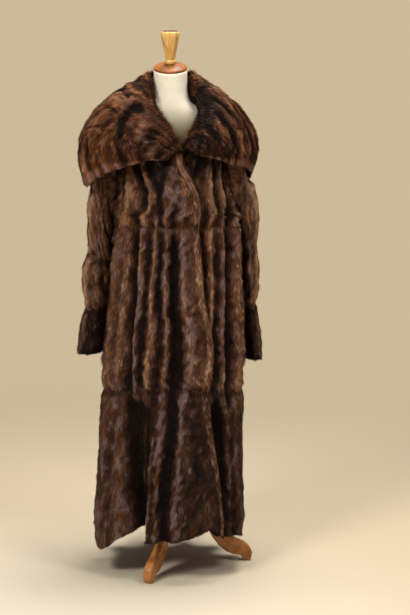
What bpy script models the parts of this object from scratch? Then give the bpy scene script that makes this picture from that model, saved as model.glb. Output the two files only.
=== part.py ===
"""A full-length fur coat standing on a limbless dress form.

The coat is a set of sewn panels: a bodice, two gathered skirt tiers, two sleeves of three bands, a cape
collar in two halves and a rolled strip down the lapping front edge.  Every panel is a closed wall of pelt
and fur with a seam gap to its neighbours.  The form is a covered torso with a wooden neck cap, a turned
finial, a pole, a hub and three curved legs.

Frame while modelling: +Z up, floor at z = 0, the pole on the Z axis, the coat's front towards -Y.
Bearings are degrees around the pole, 0 at the front and positive towards +X (the wearer's left).
At the end everything is moved so that the centre of the whole object's base is the origin.
"""
import math
from collections import namedtuple

import bmesh
import bpy
import numpy as np
from mathutils import Vector

# ---- driving dimensions, metres and degrees ------------------------------------------------------------

WALL = 0.008            # pelt and fur together
SEAM = 0.0003           # gap at every seam and seat
LAP_GAP = 0.0015        # air between the lapping front and the one beneath it
LAP_BLEND = 8.0         # degrees over which the lapping front climbs over the other
LAP_START = 5.0         # degrees before the hidden edge by which it has climbed
ROUNDNESS = 2.3         # exponent of the body sections: 2 is an ellipse, more is squarer

WAIST_Z = 1.09          # seam between the bodice and the upper skirt
KNEE_Z = 0.575          # seam between the two skirt tiers, at the sides
KNEE_LIFT = 0.03        # how much higher that seam is at the centre front
NECK_Z = 1.545          # top of the bodice
WAIST_PINCH = 0.003     # how far the seam at the waist draws the surface in
KNEE_PINCH = 0.006      # and the one between the skirt tiers
PINCH_REACH = 0.016     # half the height of such a crease
WAIST_HOLD = 0.65       # how strong the upper skirt's folds are at the waist seam
KNEE_HOLD = 0.6         # and at the seam between the skirt tiers
EDGE_POWER = 4          # how close to a skirt's free edge its folds have to give way to it

ARMHOLE_Z = 1.265       # centre of the armhole
ARMHOLE_HALF = 0.135    # half its height
ARMHOLE_SPREAD = 23.0   # half its width, in degrees around the body
SLEEVE_SIDES = 16       # points round a sleeve; the bodice rows match them
SLEEVE_INSET = 0.0006   # how far the sleeve's first ring stays inside the armhole's edge

BAND_WIDTH = 0.022      # rolled strip on the lapping edge
BAND_THICK = 0.006
BAND_TOP_Z = 1.297      # it starts just under the collar
NARROW_SHARE = 0.3      # near the neck, the most of the front's width that the strip's place may take
COLLAR_WALL = 0.012     # at the neck; it thins to half at the outer edge
COLLAR_EASE = 0.004     # how far the collar stands off the bodice at the centre front
COLLAR_LEAN = 0.34      # share of the way to the shoulder point over which a section rises straight

NECK_RADIUS = 0.0515    # the form's neck
NECK_TILT = 18.0        # the neck is cut off sloping down to the front
NECK_RIM_Z = 1.566      # height of that cut on the neck's axis
SEAT_Z = 1.43           # the coat hangs on the form's shoulders at this height
POLE_RADIUS = 0.014
HUB_RADIUS = 0.036
HUB_BOTTOM, HUB_TOP = 0.16, 0.285
LEG_THICK = 0.028
STAND_X = 0.02          # the pole and hub stand this far to the wearer's left of the neck
LEG_BEARINGS = {"leg_front": -23.0, "leg_side": 97.0, "leg_back": 200.0}


def table(columns, *rows):
    """A short table of sizes: each named column becomes an array."""
    return dict(zip(columns.split(), np.array(rows, dtype=float).T))


# Outer surface of the coat without its folds: the reach from the pole to each side at a height.
BODY = table(
    "z     left   right  front  back",
    (0.05, 0.246, 0.226, 0.226, 0.236),
    (0.19, 0.245, 0.225, 0.225, 0.235),
    (0.30, 0.236, 0.221, 0.218, 0.228),
    (0.45, 0.228, 0.224, 0.205, 0.215),
    (0.59, 0.222, 0.231, 0.190, 0.200),
    (0.66, 0.216, 0.226, 0.185, 0.190),
    (0.75, 0.203, 0.220, 0.174, 0.175),
    (0.88, 0.186, 0.216, 0.160, 0.157),
    (1.00, 0.177, 0.214, 0.147, 0.142),
    (1.09, 0.171, 0.208, 0.138, 0.131),
    (1.20, 0.170, 0.197, 0.155, 0.135),
    (1.30, 0.175, 0.190, 0.157, 0.140),
    (1.355, 0.185, 0.195, 0.147, 0.135),
    (1.40, 0.188, 0.190, 0.127, 0.115),
    (1.43, 0.145, 0.147, 0.112, 0.097),
    (1.47, 0.085, 0.087, 0.088, 0.083),
    (1.51, 0.066, 0.067, 0.066, 0.071),
    (1.56, 0.060, 0.061, 0.058, 0.066),
)

# Free edges of the two fronts: bearing of the lapping edge and of the edge beneath it.
EDGE = table(
    "z      over   under",
    (0.05, 42.0, -4.0),
    (0.25, 41.0, -4.0),
    (0.33, 39.0, -4.0),
    (0.46, 34.7, -4.0),
    (0.60, 33.4, -4.0),
    (0.745, 38.3, -1.0),
    (0.87, 33.7, -1.0),
    (0.99, 32.5, -1.0),
    (1.09, 32.5, -1.0),
    (1.14, 33.2, -1.0),
    (1.17, 31.0, -1.0),
    (1.20, 28.0, 0.0),
    (1.23, 23.0, 2.0),
    (1.272, 16.0, 5.0),
    (1.317, 12.0, 12.5),
    (1.352, 7.0, 21.0),
    (1.383, 0.6, 29.0),
    (1.41, -8.5, 36.0),
    (1.44, -20.0, 46.0),
    (1.485, -36.0, 60.0),
    (1.55, -80.0, 80.0),
)

# Height of the hem by bearing.
HEM = table(
    "bearing z",
    (-90, 0.112),
    (-66, 0.094),
    (-57, 0.087),
    (-51, 0.103),
    (-46, 0.122),
    (-40, 0.136),
    (-33, 0.158),
    (-26, 0.150),
    (-21, 0.136),
    (-8, 0.135),
    (4, 0.138),
    (20, 0.153),
    (32, 0.168),
    (42, 0.135),
    (58, 0.126),
    (72, 0.112),
    (90, 0.118),
    (120, 0.108),
    (150, 0.122),
    (180, 0.112),
    (215, 0.121),
    (245, 0.108),
    (270, 0.118),
)

# Folds of each panel, from one of its upright sides to the other: where each ridge or trough stands at
# the top and at the bottom of the panel, and how far it stands out of (or sinks into) the plain surface.
FOLD_COLUMNS = "top bottom rise_top rise_bottom"
FOLDS = {
    "bodice_right_front": table(
        FOLD_COLUMNS,
        (-90, -90, 0.000, 0.000),
        (-70, -72, 0.000, 0.000),
        (-53, -59, 0.006, 0.013),
        (-41, -41, -0.005, -0.011),
        (-31, -32, 0.006, 0.011),
        (-21, -21, -0.003, -0.007),
        (-10, -10, 0.002, 0.003),
        (0, 0, 0.002, 0.003),
        (10, 10, 0.001, 0.002),
        (18, 18, 0.003, 0.004),
        (24, 24, 0.003, 0.005),
    ),
    "bodice_left_front": table(
        FOLD_COLUMNS,
        (-1, -1, -0.001, -0.002),
        (16, 16, -0.002, -0.003),
        (28, 28, -0.003, -0.004),
        (37, 37, -0.006, -0.012),
        (46, 46, -0.004, -0.009),
        (56, 56, 0.006, 0.011),
        (64, 63, -0.001, -0.005),
        (71, 71, 0.004, 0.009),
        (80, 80, -0.001, -0.002),
        (90, 90, 0.000, 0.000),
    ),
    "bodice_back": table(
        FOLD_COLUMNS,
        (90, 90, 0.000, 0.000),
        (106, 106, 0.003, 0.005),
        (119, 119, -0.003, -0.007),
        (133, 133, 0.004, 0.009),
        (147, 147, -0.003, -0.006),
        (160, 160, 0.002, 0.007),
        (175, 175, -0.002, -0.005),
        (189, 189, 0.003, 0.008),
        (204, 204, -0.003, -0.008),
        (218, 218, 0.003, 0.009),
        (231, 231, -0.003, -0.006),
        (248, 248, 0.002, 0.005),
        (270, 270, 0.000, 0.000),
    ),
    "upper_skirt_right_front": table(
        FOLD_COLUMNS,
        (-90, -90, -0.001, -0.002),
        (-78, -79, -0.001, -0.003),
        (-63, -66, 0.016, 0.014),
        (-53, -55, 0.002, 0.003),
        (-42, -40, -0.019, -0.030),
        (-34, -34, 0.006, 0.008),
        (-25, -30, -0.006, -0.003),
        (-17, -22, 0.010, 0.016),
        (-11, -12, -0.006, -0.008),
        (-4, -6, 0.008, 0.010),
        (5, 4, -0.014, -0.026),
        (14, 14, 0.009, 0.012),
        (20, 21, 0.006, 0.010),
        (24, 27, 0.007, 0.009),
    ),
    "upper_skirt_left_front": table(
        FOLD_COLUMNS,
        (-1, -1, -0.008, -0.014),
        (5, 4, -0.020, -0.033),
        (14, 14, -0.012, -0.018),
        (25, 22, -0.005, -0.007),
        (38, 28, -0.012, -0.010),
        (47, 35, 0.008, 0.010),
        (54, 42, -0.003, -0.008),
        (58, 49, 0.010, 0.006),
        (64, 57, -0.018, -0.028),
        (73, 71, 0.018, 0.021),
        (81, 79, -0.002, -0.004),
        (90, 90, -0.001, -0.002),
    ),
    "upper_skirt_back": table(
        FOLD_COLUMNS,
        (90, 90, -0.001, -0.002),
        (101, 100, -0.002, -0.003),
        (112, 111, 0.008, 0.016),
        (123, 123, -0.010, -0.020),
        (133, 134, 0.009, 0.013),
        (143, 144, -0.007, -0.014),
        (153, 154, 0.010, 0.017),
        (165, 165, -0.010, -0.024),
        (176, 177, 0.009, 0.014),
        (187, 187, -0.006, -0.010),
        (197, 198, 0.010, 0.018),
        (208, 209, -0.009, -0.019),
        (219, 220, 0.008, 0.013),
        (229, 230, -0.008, -0.013),
        (240, 241, 0.010, 0.018),
        (252, 253, -0.006, -0.012),
        (262, 262, -0.001, -0.002),
        (270, 270, -0.001, -0.002),
    ),
    "lower_skirt_right_front": table(
        FOLD_COLUMNS,
        (-90, -90, 0.000, 0.000),
        (-75, -76, 0.004, 0.005),
        (-60, -60, 0.012, 0.018),
        (-48, -46, 0.000, -0.006),
        (-38, -28, -0.028, -0.100),
        (-21, -23, -0.010, -0.045),
        (-12, -20, 0.004, 0.009),
        (-7, -13, 0.012, 0.012),
        (4, -6, -0.012, -0.018),
        (11, 1, 0.010, 0.009),
        (21, 17, 0.004, 0.003),
        (27, 36, 0.004, 0.004),
    ),
    "lower_skirt_left_front": table(
        FOLD_COLUMNS,
        (-4, -4, -0.024, -0.034),
        (8, 7, -0.010, -0.026),
        (22, 22, -0.004, -0.012),
        (34, 39, -0.016, -0.024),
        (43, 47, -0.036, -0.024),
        (53, 55, -0.002, 0.000),
        (62, 63, 0.011, 0.013),
        (76, 76, 0.004, 0.004),
        (90, 90, 0.000, 0.000),
    ),
    "lower_skirt_back": table(
        FOLD_COLUMNS,
        (90, 90, 0.000, 0.000),
        (107, 108, 0.010, 0.016),
        (122, 123, -0.022, -0.055),
        (136, 138, 0.010, 0.012),
        (151, 152, -0.018, -0.035),
        (166, 167, 0.010, 0.014),
        (182, 183, -0.026, -0.065),
        (197, 197, 0.009, 0.014),
        (212, 212, -0.015, -0.034),
        (228, 229, 0.012, 0.016),
        (246, 247, -0.022, -0.050),
        (258, 258, 0.006, 0.010),
        (270, 270, 0.000, 0.000),
    ),
}

# Sleeve rings after the armhole: the ring's ends next to the body and away from it, its middle in Y and
# its half depth in Y.
SLEEVE_COLUMNS = "inner_x inner_z outer_x outer_z y depth"
SLEEVES = {
    "sleeve_right": table(
        SLEEVE_COLUMNS,
        (-0.181, 1.124, -0.211, 1.390, 0.000, 0.072),
        (-0.181, 1.117, -0.233, 1.350, 0.000, 0.074),
        (-0.180, 1.106, -0.245, 1.295, 0.002, 0.075),
        (-0.180, 1.086, -0.251, 1.225, 0.005, 0.074),
        (-0.182, 1.055, -0.264, 1.150, 0.009, 0.073),
        (-0.184, 1.015, -0.265, 1.075, 0.011, 0.072),
        (-0.187, 0.975, -0.265, 1.010, 0.013, 0.071),
        (-0.190, 0.930, -0.281, 0.950, 0.014, 0.072),
        (-0.194, 0.880, -0.283, 0.890, 0.014, 0.072),
        (-0.201, 0.828, -0.276, 0.832, 0.013, 0.068),
        (-0.208, 0.776, -0.290, 0.778, 0.011, 0.070),
        (-0.215, 0.732, -0.296, 0.732, 0.008, 0.070),
        (-0.222, 0.688, -0.300, 0.688, 0.005, 0.068),
    ),
    "sleeve_left": table(
        SLEEVE_COLUMNS,
        (0.208, 1.124, 0.212, 1.390, 0.000, 0.072),
        (0.212, 1.117, 0.230, 1.350, 0.000, 0.074),
        (0.216, 1.106, 0.232, 1.300, 0.004, 0.075),
        (0.218, 1.088, 0.238, 1.240, 0.010, 0.074),
        (0.220, 1.060, 0.264, 1.205, 0.017, 0.073),
        (0.221, 1.022, 0.279, 1.125, 0.026, 0.072),
        (0.221, 0.985, 0.274, 1.030, 0.029, 0.070),
        (0.222, 0.935, 0.280, 0.955, 0.031, 0.071),
        (0.223, 0.880, 0.279, 0.890, 0.032, 0.071),
        (0.225, 0.828, 0.274, 0.832, 0.033, 0.066),
        (0.228, 0.775, 0.280, 0.777, 0.033, 0.069),
        (0.231, 0.720, 0.286, 0.720, 0.033, 0.069),
        (0.234, 0.665, 0.292, 0.665, 0.033, 0.067),
    ),
}
SLEEVE_BANDS = {"head": (0, 6), "elbow": (6, 9), "cuff": (9, 12)}      # first and last ring of each band

# Collar sections from the foot of the V round to the centre back: where the section starts on the
# neckline, then the point that pulls it out over the shoulder, then its outer edge.
COLLAR_COLUMNS = "bearing z mid_x mid_y mid_z out_x out_y out_z"
COLLARS = {
    "collar_right": table(
        COLLAR_COLUMNS,
        (12, 1.317, 0.012, -0.184, 1.314, -0.006, -0.180, 1.300),
        (1, 1.383, -0.050, -0.196, 1.352, -0.080, -0.184, 1.293),
        (-20, 1.440, -0.125, -0.195, 1.390, -0.135, -0.176, 1.276),
        (-45, 1.500, -0.200, -0.168, 1.425, -0.180, -0.156, 1.262),
        (-72, 1.540, -0.275, -0.110, 1.420, -0.225, -0.122, 1.236),
        (-92, 1.548, -0.328, -0.035, 1.415, -0.253, -0.072, 1.212),
        (-108, 1.550, -0.338, 0.040, 1.412, -0.264, -0.008, 1.216),
        (-124, 1.552, -0.305, 0.105, 1.417, -0.249, 0.058, 1.205),
        (-142, 1.553, -0.225, 0.165, 1.428, -0.200, 0.118, 1.185),
        (-161, 1.554, -0.115, 0.200, 1.440, -0.108, 0.158, 1.168),
        (-180, 1.554, 0.000, 0.210, 1.440, 0.000, 0.172, 1.160),
    ),
    "collar_left": table(
        COLLAR_COLUMNS,
        (16, 1.324, 0.056, -0.182, 1.328, 0.062, -0.178, 1.320),
        (21, 1.352, 0.088, -0.192, 1.345, 0.108, -0.176, 1.308),
        (33, 1.400, 0.135, -0.186, 1.375, 0.150, -0.162, 1.297),
        (48, 1.446, 0.190, -0.160, 1.410, 0.190, -0.138, 1.282),
        (66, 1.500, 0.245, -0.118, 1.418, 0.226, -0.104, 1.272),
        (84, 1.548, 0.296, -0.055, 1.410, 0.243, -0.054, 1.260),
        (102, 1.550, 0.322, 0.020, 1.404, 0.248, 0.008, 1.250),
        (120, 1.552, 0.299, 0.095, 1.404, 0.239, 0.066, 1.222),
        (140, 1.553, 0.220, 0.160, 1.425, 0.198, 0.122, 1.190),
        (160, 1.554, 0.115, 0.200, 1.440, 0.108, 0.158, 1.170),
        (180, 1.554, 0.000, 0.210, 1.440, 0.000, 0.172, 1.160),
    ),
}

# The form's torso, below its shoulder seat: half width, reach to the front and to the back.
TORSO = table(
    "z      side   front  back",
    (0.745, 0.060, 0.045, 0.050),
    (0.755, 0.105, 0.075, 0.085),
    (0.80, 0.135, 0.095, 0.108),
    (0.88, 0.146, 0.106, 0.117),
    (0.97, 0.132, 0.100, 0.103),
    (1.06, 0.116, 0.096, 0.092),
    (1.14, 0.124, 0.110, 0.094),
    (1.22, 0.138, 0.127, 0.100),
    (1.30, 0.149, 0.122, 0.105),
    (1.36, 0.156, 0.106, 0.100),
    (1.40, 0.152, 0.088, 0.086),
    (1.43, 0.130, 0.074, 0.072),
    (1.46, 0.070, 0.062, 0.060),
    (1.49, 0.054, 0.054, 0.053),
    (1.52, 0.0515, 0.0515, 0.0515),
)
TORSO_SIDES = 24

# Turned finial: radius at each height above its seat on the cap.
FINIAL = table(
    "radius  rise",
    (0.0165, 0.000),
    (0.0165, 0.013),
    (0.0175, 0.017),
    (0.0165, 0.021),
    (0.0142, 0.024),
    (0.0158, 0.028),
    (0.0182, 0.044),
    (0.0216, 0.062),
    (0.0268, 0.086),
    (0.0285, 0.096),
    (0.0275, 0.106),
    (0.0255, 0.109),
)
FINIAL_TILT = 8.0       # it leans forward, less than the cap does
FINIAL_FOOT_Z = 1.572   # its foot, before the cap's dome is cut out of it
CAP_EDGE = 0.002        # upright edge of the cap
CAP_RISE = 0.017        # rise of the dome from that edge
FINIAL_SIDES = 16
POLE_SIDES = 16

# Outline of a leg seen from its side: reach from the pole and height, along the top, then back below.
LEG_TOP = table(
    "reach  z",
    (0.0365, 0.262),
    (0.060, 0.232),
    (0.090, 0.180),
    (0.120, 0.132),
    (0.150, 0.098),
    (0.185, 0.074),
    (0.215, 0.060),
    (0.232, 0.044),
    (0.240, 0.026),
    (0.236, 0.008),
    (0.230, 0.000),
)
LEG_BELOW = table(
    "reach  z",
    (0.210, 0.000),
    (0.203, 0.018),
    (0.178, 0.022),
    (0.154, 0.032),
    (0.131, 0.052),
    (0.110, 0.080),
    (0.090, 0.118),
    (0.070, 0.154),
    (0.0365, 0.180),
)

Finish = namedtuple("Finish", "colour roughness metallic")
FUR_BROWN = Finish((0.060, 0.030, 0.018), 0.55, 0.0)
FUR_DARK = Finish((0.040, 0.022, 0.015), 0.55, 0.0)
LINEN = Finish((0.78, 0.70, 0.56), 0.85, 0.0)
CAP_WOOD = Finish((0.36, 0.13, 0.035), 0.35, 0.0)
FINIAL_WOOD = Finish((0.62, 0.36, 0.11), 0.30, 0.0)
LEG_WOOD = Finish((0.40, 0.17, 0.05), 0.40, 0.0)


# ---- curves and surfaces ------------------------------------------------------------------------------

def along(rows, key, column, at):
    """A smooth curve through one column of a table, read where the key column has the value `at`."""
    knots, values = rows[key], rows[column]
    slopes = np.gradient(values, knots)
    at = np.clip(np.asarray(at, dtype=float), knots[0], knots[-1])
    i = np.clip(np.searchsorted(knots, at) - 1, 0, len(knots) - 2)
    step = knots[i + 1] - knots[i]
    t = (at - knots[i]) / step
    start, end = values[i], values[i + 1]
    leave, arrive = slopes[i] * step, slopes[i + 1] * step
    return (start * (1 + 2 * t) * (1 - t) ** 2 + end * t * t * (3 - 2 * t)
            + leave * t * (1 - t) ** 2 - arrive * t * t * (1 - t))


def ease(t):
    """0 below 0, 1 above 1, and a soft step between."""
    t = np.clip(t, 0.0, 1.0)
    return t * t * (3 - 2 * t)


def bump(distance, reach):
    """1 at no distance, falling softly to nothing beyond the reach."""
    return np.exp(-(distance / reach) ** 2)


def around(bearing, radius, z):
    """Points at bearings, radii and heights around the pole."""
    angle = np.radians(bearing)
    return np.stack(np.broadcast_arrays(radius * np.sin(angle), -radius * np.cos(angle), z), axis=-1)


def plain_radius(bearing, z):
    """Reach of the coat's outer surface without folds."""
    angle = np.radians(bearing)
    side = np.where(np.sin(angle) < 0, along(BODY, "z", "left", z), along(BODY, "z", "right", z))
    face = np.where(np.cos(angle) > 0, along(BODY, "z", "front", z), along(BODY, "z", "back", z))
    across = (np.abs(np.sin(angle)) / side) ** ROUNDNESS + (np.abs(np.cos(angle)) / face) ** ROUNDNESS
    return across ** (-1 / ROUNDNESS)


def knee_z(bearing):
    """Height of the seam between the skirt tiers."""
    return KNEE_Z + KNEE_LIFT * np.maximum(np.cos(np.radians(bearing)), 0.0) ** 2


def hem_z(bearing):
    return along(HEM, "bearing", "z", bearing)


def pinch(bearing, z):
    """How far the waist and knee seams draw the surface in."""
    return WAIST_PINCH * bump(z - WAIST_Z, PINCH_REACH) + KNEE_PINCH * bump(z - knee_z(bearing), PINCH_REACH)


def lap(bearing, z):
    """How far the lapping front stands over the other one."""
    start = along(EDGE, "z", "under", z) - LAP_BLEND - LAP_START
    return (WALL + LAP_GAP) * ease((bearing - start) / LAP_BLEND)


def armhole_spread(z):
    """Half the armhole's width in degrees at a height, 0 above and below it."""
    share = np.clip((z - ARMHOLE_Z) / ARMHOLE_HALF, -1.0, 1.0)
    return ARMHOLE_SPREAD * np.sqrt(1 - share ** 2)


def side_gap(z):
    """Half a seam, in degrees around the body."""
    return np.degrees(SEAM / 2 / along(BODY, "z", "left", z))


# ---- meshes -------------------------------------------------------------------------------------------

def add_object(name, mesh, finish, parent):
    """An object with its own material under the part's empty."""
    material = bpy.data.materials.new(name)
    material.use_nodes = True
    shader = material.node_tree.nodes["Principled BSDF"]
    shader.inputs["Base Color"].default_value = (*finish.colour, 1.0)
    shader.inputs["Roughness"].default_value = finish.roughness
    shader.inputs["Metallic"].default_value = finish.metallic
    mesh.materials.append(material)
    mesh.shade_smooth()
    mesh.set_sharp_from_angle(angle=math.radians(40))
    piece = bpy.data.objects.new(name, mesh)
    piece.parent = parent
    bpy.context.scene.collection.objects.link(piece)
    return piece


def finished_mesh(name, model):
    """Turn a closed bmesh's faces outwards and make it a mesh."""
    bmesh.ops.recalc_face_normals(model, faces=model.faces)
    if model.calc_volume(signed=True) < 0:
        bmesh.ops.reverse_faces(model, faces=model.faces)
    mesh = bpy.data.meshes.new(name)
    model.to_mesh(mesh)
    model.free()
    return mesh


def split_face(model, first, second, third, fourth):
    """Four corners as two triangles that meet on the line from the first to the third."""
    model.faces.new((first, second, third))
    model.faces.new((first, third, fourth))


def wall_mesh(name, outer, inner, closed=False):
    """A closed wall between two grids of points; a closed wall's columns run all the way round."""
    model = bmesh.new()
    walls = [[[model.verts.new(point) for point in row] for row in grid] for grid in (outer, inner)]
    front, behind = walls
    rows, columns = len(outer), len(outer[0])
    spans = range(columns if closed else columns - 1)
    for row in range(rows - 1):
        for column in spans:
            after = (column + 1) % columns
            for grid in walls:
                split_face(model, grid[row][column], grid[row][after],
                           grid[row + 1][after], grid[row + 1][column])
    for row in (0, rows - 1):
        for column in spans:
            after = (column + 1) % columns
            split_face(model, front[row][column], front[row][after], behind[row][after], behind[row][column])
    if not closed:
        for column in (0, columns - 1):
            for row in range(rows - 1):
                split_face(model, front[row][column], front[row + 1][column],
                           behind[row + 1][column], behind[row][column])
    return finished_mesh(name, model)


def turned_mesh(name, radii, heights, sides):
    """A solid turned on the Z axis from its radius at each height."""
    model = bmesh.new()
    profile = [model.verts.new((0, 0, heights[0]))]
    profile += [model.verts.new((radius, 0, z)) for radius, z in zip(radii, heights)]
    profile.append(model.verts.new((0, 0, heights[-1])))
    edges = [model.edges.new(pair) for pair in zip(profile, profile[1:])]
    bmesh.ops.spin(model, geom=profile + edges, cent=(0, 0, 0), axis=(0, 0, 1),
                   angle=math.tau, steps=sides, use_merge=True)
    bmesh.ops.remove_doubles(model, verts=model.verts, dist=1e-6)
    return finished_mesh(name, model)


def ring_solid(name, rings):
    """A closed solid through rings of points, with a flat face on each end."""
    model = bmesh.new()
    loops = [[model.verts.new(point) for point in ring] for ring in rings]
    for lower, upper in zip(loops, loops[1:]):
        for i in range(len(lower)):
            after = (i + 1) % len(lower)
            split_face(model, lower[i], lower[after], upper[after], upper[i])
    model.faces.new(loops[0])
    model.faces.new(loops[-1])
    return finished_mesh(name, model)


# ---- coat panels --------------------------------------------------------------------------------------

Panel = namedtuple("Panel", "name tier start end finish")
PANELS = [
    Panel("bodice_right_front", "bodice", "side", "over", FUR_BROWN),
    Panel("bodice_left_front", "bodice", "under", "side", FUR_BROWN),
    Panel("bodice_back", "bodice", "side", "side", FUR_BROWN),
    Panel("upper_skirt_right_front", "upper", "side", "over", FUR_BROWN),
    Panel("upper_skirt_left_front", "upper", "under", "side", FUR_BROWN),
    Panel("upper_skirt_back", "upper", "side", "side", FUR_BROWN),
    Panel("lower_skirt_right_front", "lower", "side", "over", FUR_DARK),
    Panel("lower_skirt_left_front", "lower", "under", "side", FUR_DARK),
    Panel("lower_skirt_back", "lower", "side", "side", FUR_DARK),
]
ROWS = {"upper": 8, "lower": 8}
SIDE_BEARINGS = {"start": {"front": -90.0, "back": 90.0}, "end": {"front": 90.0, "back": 270.0}}


def bodice_heights():
    """Rows of the bodice: from the neck down, past the armhole's ring of points, to the waist."""
    turns = np.linspace(90.0, -90.0, SLEEVE_SIDES // 2 + 1)
    armhole = ARMHOLE_Z + ARMHOLE_HALF * np.sin(np.radians(turns))
    rows = np.concatenate([[NECK_Z, 1.51, 1.47, SEAT_Z], armhole, [BAND_TOP_Z, WAIST_Z + SEAM / 2]])
    return np.sort(rows)[::-1]


def tier_heights(tier, bearing, share):
    """Height of a point that lies a share of the way down a skirt tier."""
    if tier == "upper":
        top, bottom = WAIST_Z - SEAM / 2, knee_z(bearing) + SEAM / 2
    else:
        top, bottom = knee_z(bearing) - SEAM / 2, hem_z(bearing)
    return top + (bottom - top) * share


def fold_strength(tier, share):
    """How strong a panel's own folds are, a share of the way down it."""
    if tier == "bodice":
        return ease((share - 0.15) / 0.25) * ease((1 - share) / 0.25)
    if tier == "lower":
        return ease(share / 0.16)
    opening = WAIST_HOLD + (1 - WAIST_HOLD) * ease(share / 0.16)
    closing = KNEE_HOLD + (1 - KNEE_HOLD) * ease((1 - share) / 0.10)
    return opening * closing


def seam_strength(tier, share):
    """How strong the upper skirt's folds still are in the panels that are sewn to it."""
    if tier == "bodice":
        return WAIST_HOLD * ease((share - 0.75) / 0.25)
    if tier == "lower":
        return KNEE_HOLD * (1 - ease(share / 0.16))
    return 0.0 * share


def fold_stops(tier, count):
    """Places along a row of folds where a panel has a column of points.

    A skirt has two columns between each ridge and the next trough, short of both, so that the folds are
    blunt; a bodice has one on each.
    """
    if tier == "bodice":
        return np.arange(count, dtype=float)
    inside = np.arange(count - 1)
    stops = np.sort(np.concatenate([inside + 0.25, inside + 0.75]))
    return np.concatenate([[0.0], stops[1:-1], [count - 1.0]])


def between(values, stops):
    """Values of a row of folds at stops that lie between them, easing from one to the next."""
    i = np.clip(np.floor(stops).astype(int), 0, len(values) - 2)
    return values[i] + (values[i + 1] - values[i]) * ease(stops - i)


def panel_limits(panel, z):
    """Bearings where a panel starts and ends at a height, with its seam gaps."""
    back = panel.name.endswith("back")
    face = "back" if back else "front"
    spread = armhole_spread(z) if panel.tier == "bodice" else 0.0
    limits = []
    for end, kind, inward in (("start", panel.start, 1.0), ("end", panel.end, -1.0)):
        if kind == "side":
            limits.append(SIDE_BEARINGS[end][face] + inward * (side_gap(z) + spread))
        else:
            limits.append(float(along(EDGE, "z", kind, z)))
    return limits


def band_angle(bearing, z):
    """The rolled strip's width in degrees at its edge."""
    return math.degrees(BAND_WIDTH / float(plain_radius(bearing, z)))


def fold_marks(panel, z, share):
    """Bearings of a panel's folds at a height, how far each stands out, and the bearing of its free edge."""
    folds = FOLDS[panel.name]
    marks = folds["top"] + (folds["bottom"] - folds["top"]) * share
    rises = folds["rise_top"] + (folds["rise_bottom"] - folds["rise_top"]) * share
    start, end = panel_limits(panel, z)
    edge = end
    if panel.end == "over":
        end = edge - min(band_angle(edge, z), (edge - start) * NARROW_SHARE)
    power = 1 if panel.tier == "bodice" else EDGE_POWER
    t = (marks - marks[0]) / (marks[-1] - marks[0])
    marks = marks + (start - marks[0]) * (1 - t) ** power + (end - marks[-1]) * t ** power
    return marks, rises, edge


def seam_rise(panel, bearings):
    """How far the upper skirt's folds stand out where a panel above or below is sewn to it."""
    upper = PANELS[3 + PANELS.index(panel) % 3]
    share = 0.0 if panel.tier == "bodice" else 1.0
    marks, rises, _ = fold_marks(upper, float(tier_heights("upper", 0.0, share)), share)
    return between(rises, np.interp(bearings, marks, np.arange(len(marks))))


def panel_row(panel, z, share):
    """Bearings and rises of one row of a panel's points."""
    marks, rises, edge = fold_marks(panel, z, share)
    stops = fold_stops(panel.tier, len(marks))
    bearings = np.interp(stops, np.arange(len(marks)), marks)
    rise = between(rises, stops)
    if panel.end == "over":
        bearings = np.append(bearings, edge)
        rise = np.append(rise, rise[-1])
    return bearings, rise


def panel_rows(panel):
    """Every row of a panel, from the top down: bearings, heights and outer radii."""
    if panel.tier == "bodice":
        heights = bodice_heights()
        shares = (NECK_Z - heights) / (NECK_Z - WAIST_Z)
    else:
        shares = np.linspace(0.0, 1.0, ROWS[panel.tier])
        heights = tier_heights(panel.tier, 0.0, shares)
    for z, share in zip(heights, shares):
        bearings, rise = panel_row(panel, z, share)
        rise = (rise * fold_strength(panel.tier, share)
                + seam_rise(panel, bearings) * seam_strength(panel.tier, share))
        levels = np.full(len(bearings), z)
        if panel.tier != "bodice":
            levels = tier_heights(panel.tier, bearings, share)
        radii = plain_radius(bearings, levels) - pinch(bearings, levels) + rise
        if panel.end == "over":
            radii = radii + lap(bearings, levels)
        yield bearings, levels, radii


def panel_mesh(panel):
    rows = list(panel_rows(panel))
    outer = [around(bearings, radii, levels) for bearings, levels, radii in rows]
    inner = [around(bearings, radii - WALL, levels) for bearings, levels, radii in rows]
    return wall_mesh(panel.name, outer, inner)


def front_band(parent):
    """The rolled strip lies on the last strip of every right front, one piece from the V to the hem."""
    flat, crest = [], []
    for panel in (PANELS[0], PANELS[3], PANELS[6]):
        rows = [row for row in panel_rows(panel) if row[1][0] <= BAND_TOP_Z]
        for bearings, levels, radii in rows:
            ends = np.array([bearings[-2], bearings[-1]])
            reach = radii[-2:] + SEAM
            flat.append(around(ends, reach, levels[-2:]))
            crest.append(around(ends + np.array([0.25, -0.25]) * (ends[1] - ends[0]),
                                reach + BAND_THICK, levels[-2:]))
    keep = [i for i in range(len(flat)) if i == 0 or abs(flat[i][0][2] - flat[i - 1][0][2]) > 2 * SEAM]
    rings = [[flat[i][0], flat[i][1], crest[i][1], crest[i][0]] for i in keep]
    add_object("front_band", ring_solid("front_band", rings), FUR_BROWN, parent)


# ---- sleeves and collar -------------------------------------------------------------------------------

def armhole_ring(side, lift):
    """The armhole's points, just inside its edge and a little above or below the bodice's surface."""
    turns = np.radians(np.arange(SLEEVE_SIDES) * 360.0 / SLEEVE_SIDES)
    inset = 1 - SLEEVE_INSET / ARMHOLE_HALF
    spread = ARMHOLE_SPREAD * (1 - SLEEVE_INSET / 0.07)
    bearing = side * (90.0 - spread * np.cos(turns))
    z = ARMHOLE_Z + ARMHOLE_HALF * inset * np.sin(turns)
    return around(bearing, plain_radius(bearing, z) + lift, z)


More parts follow.
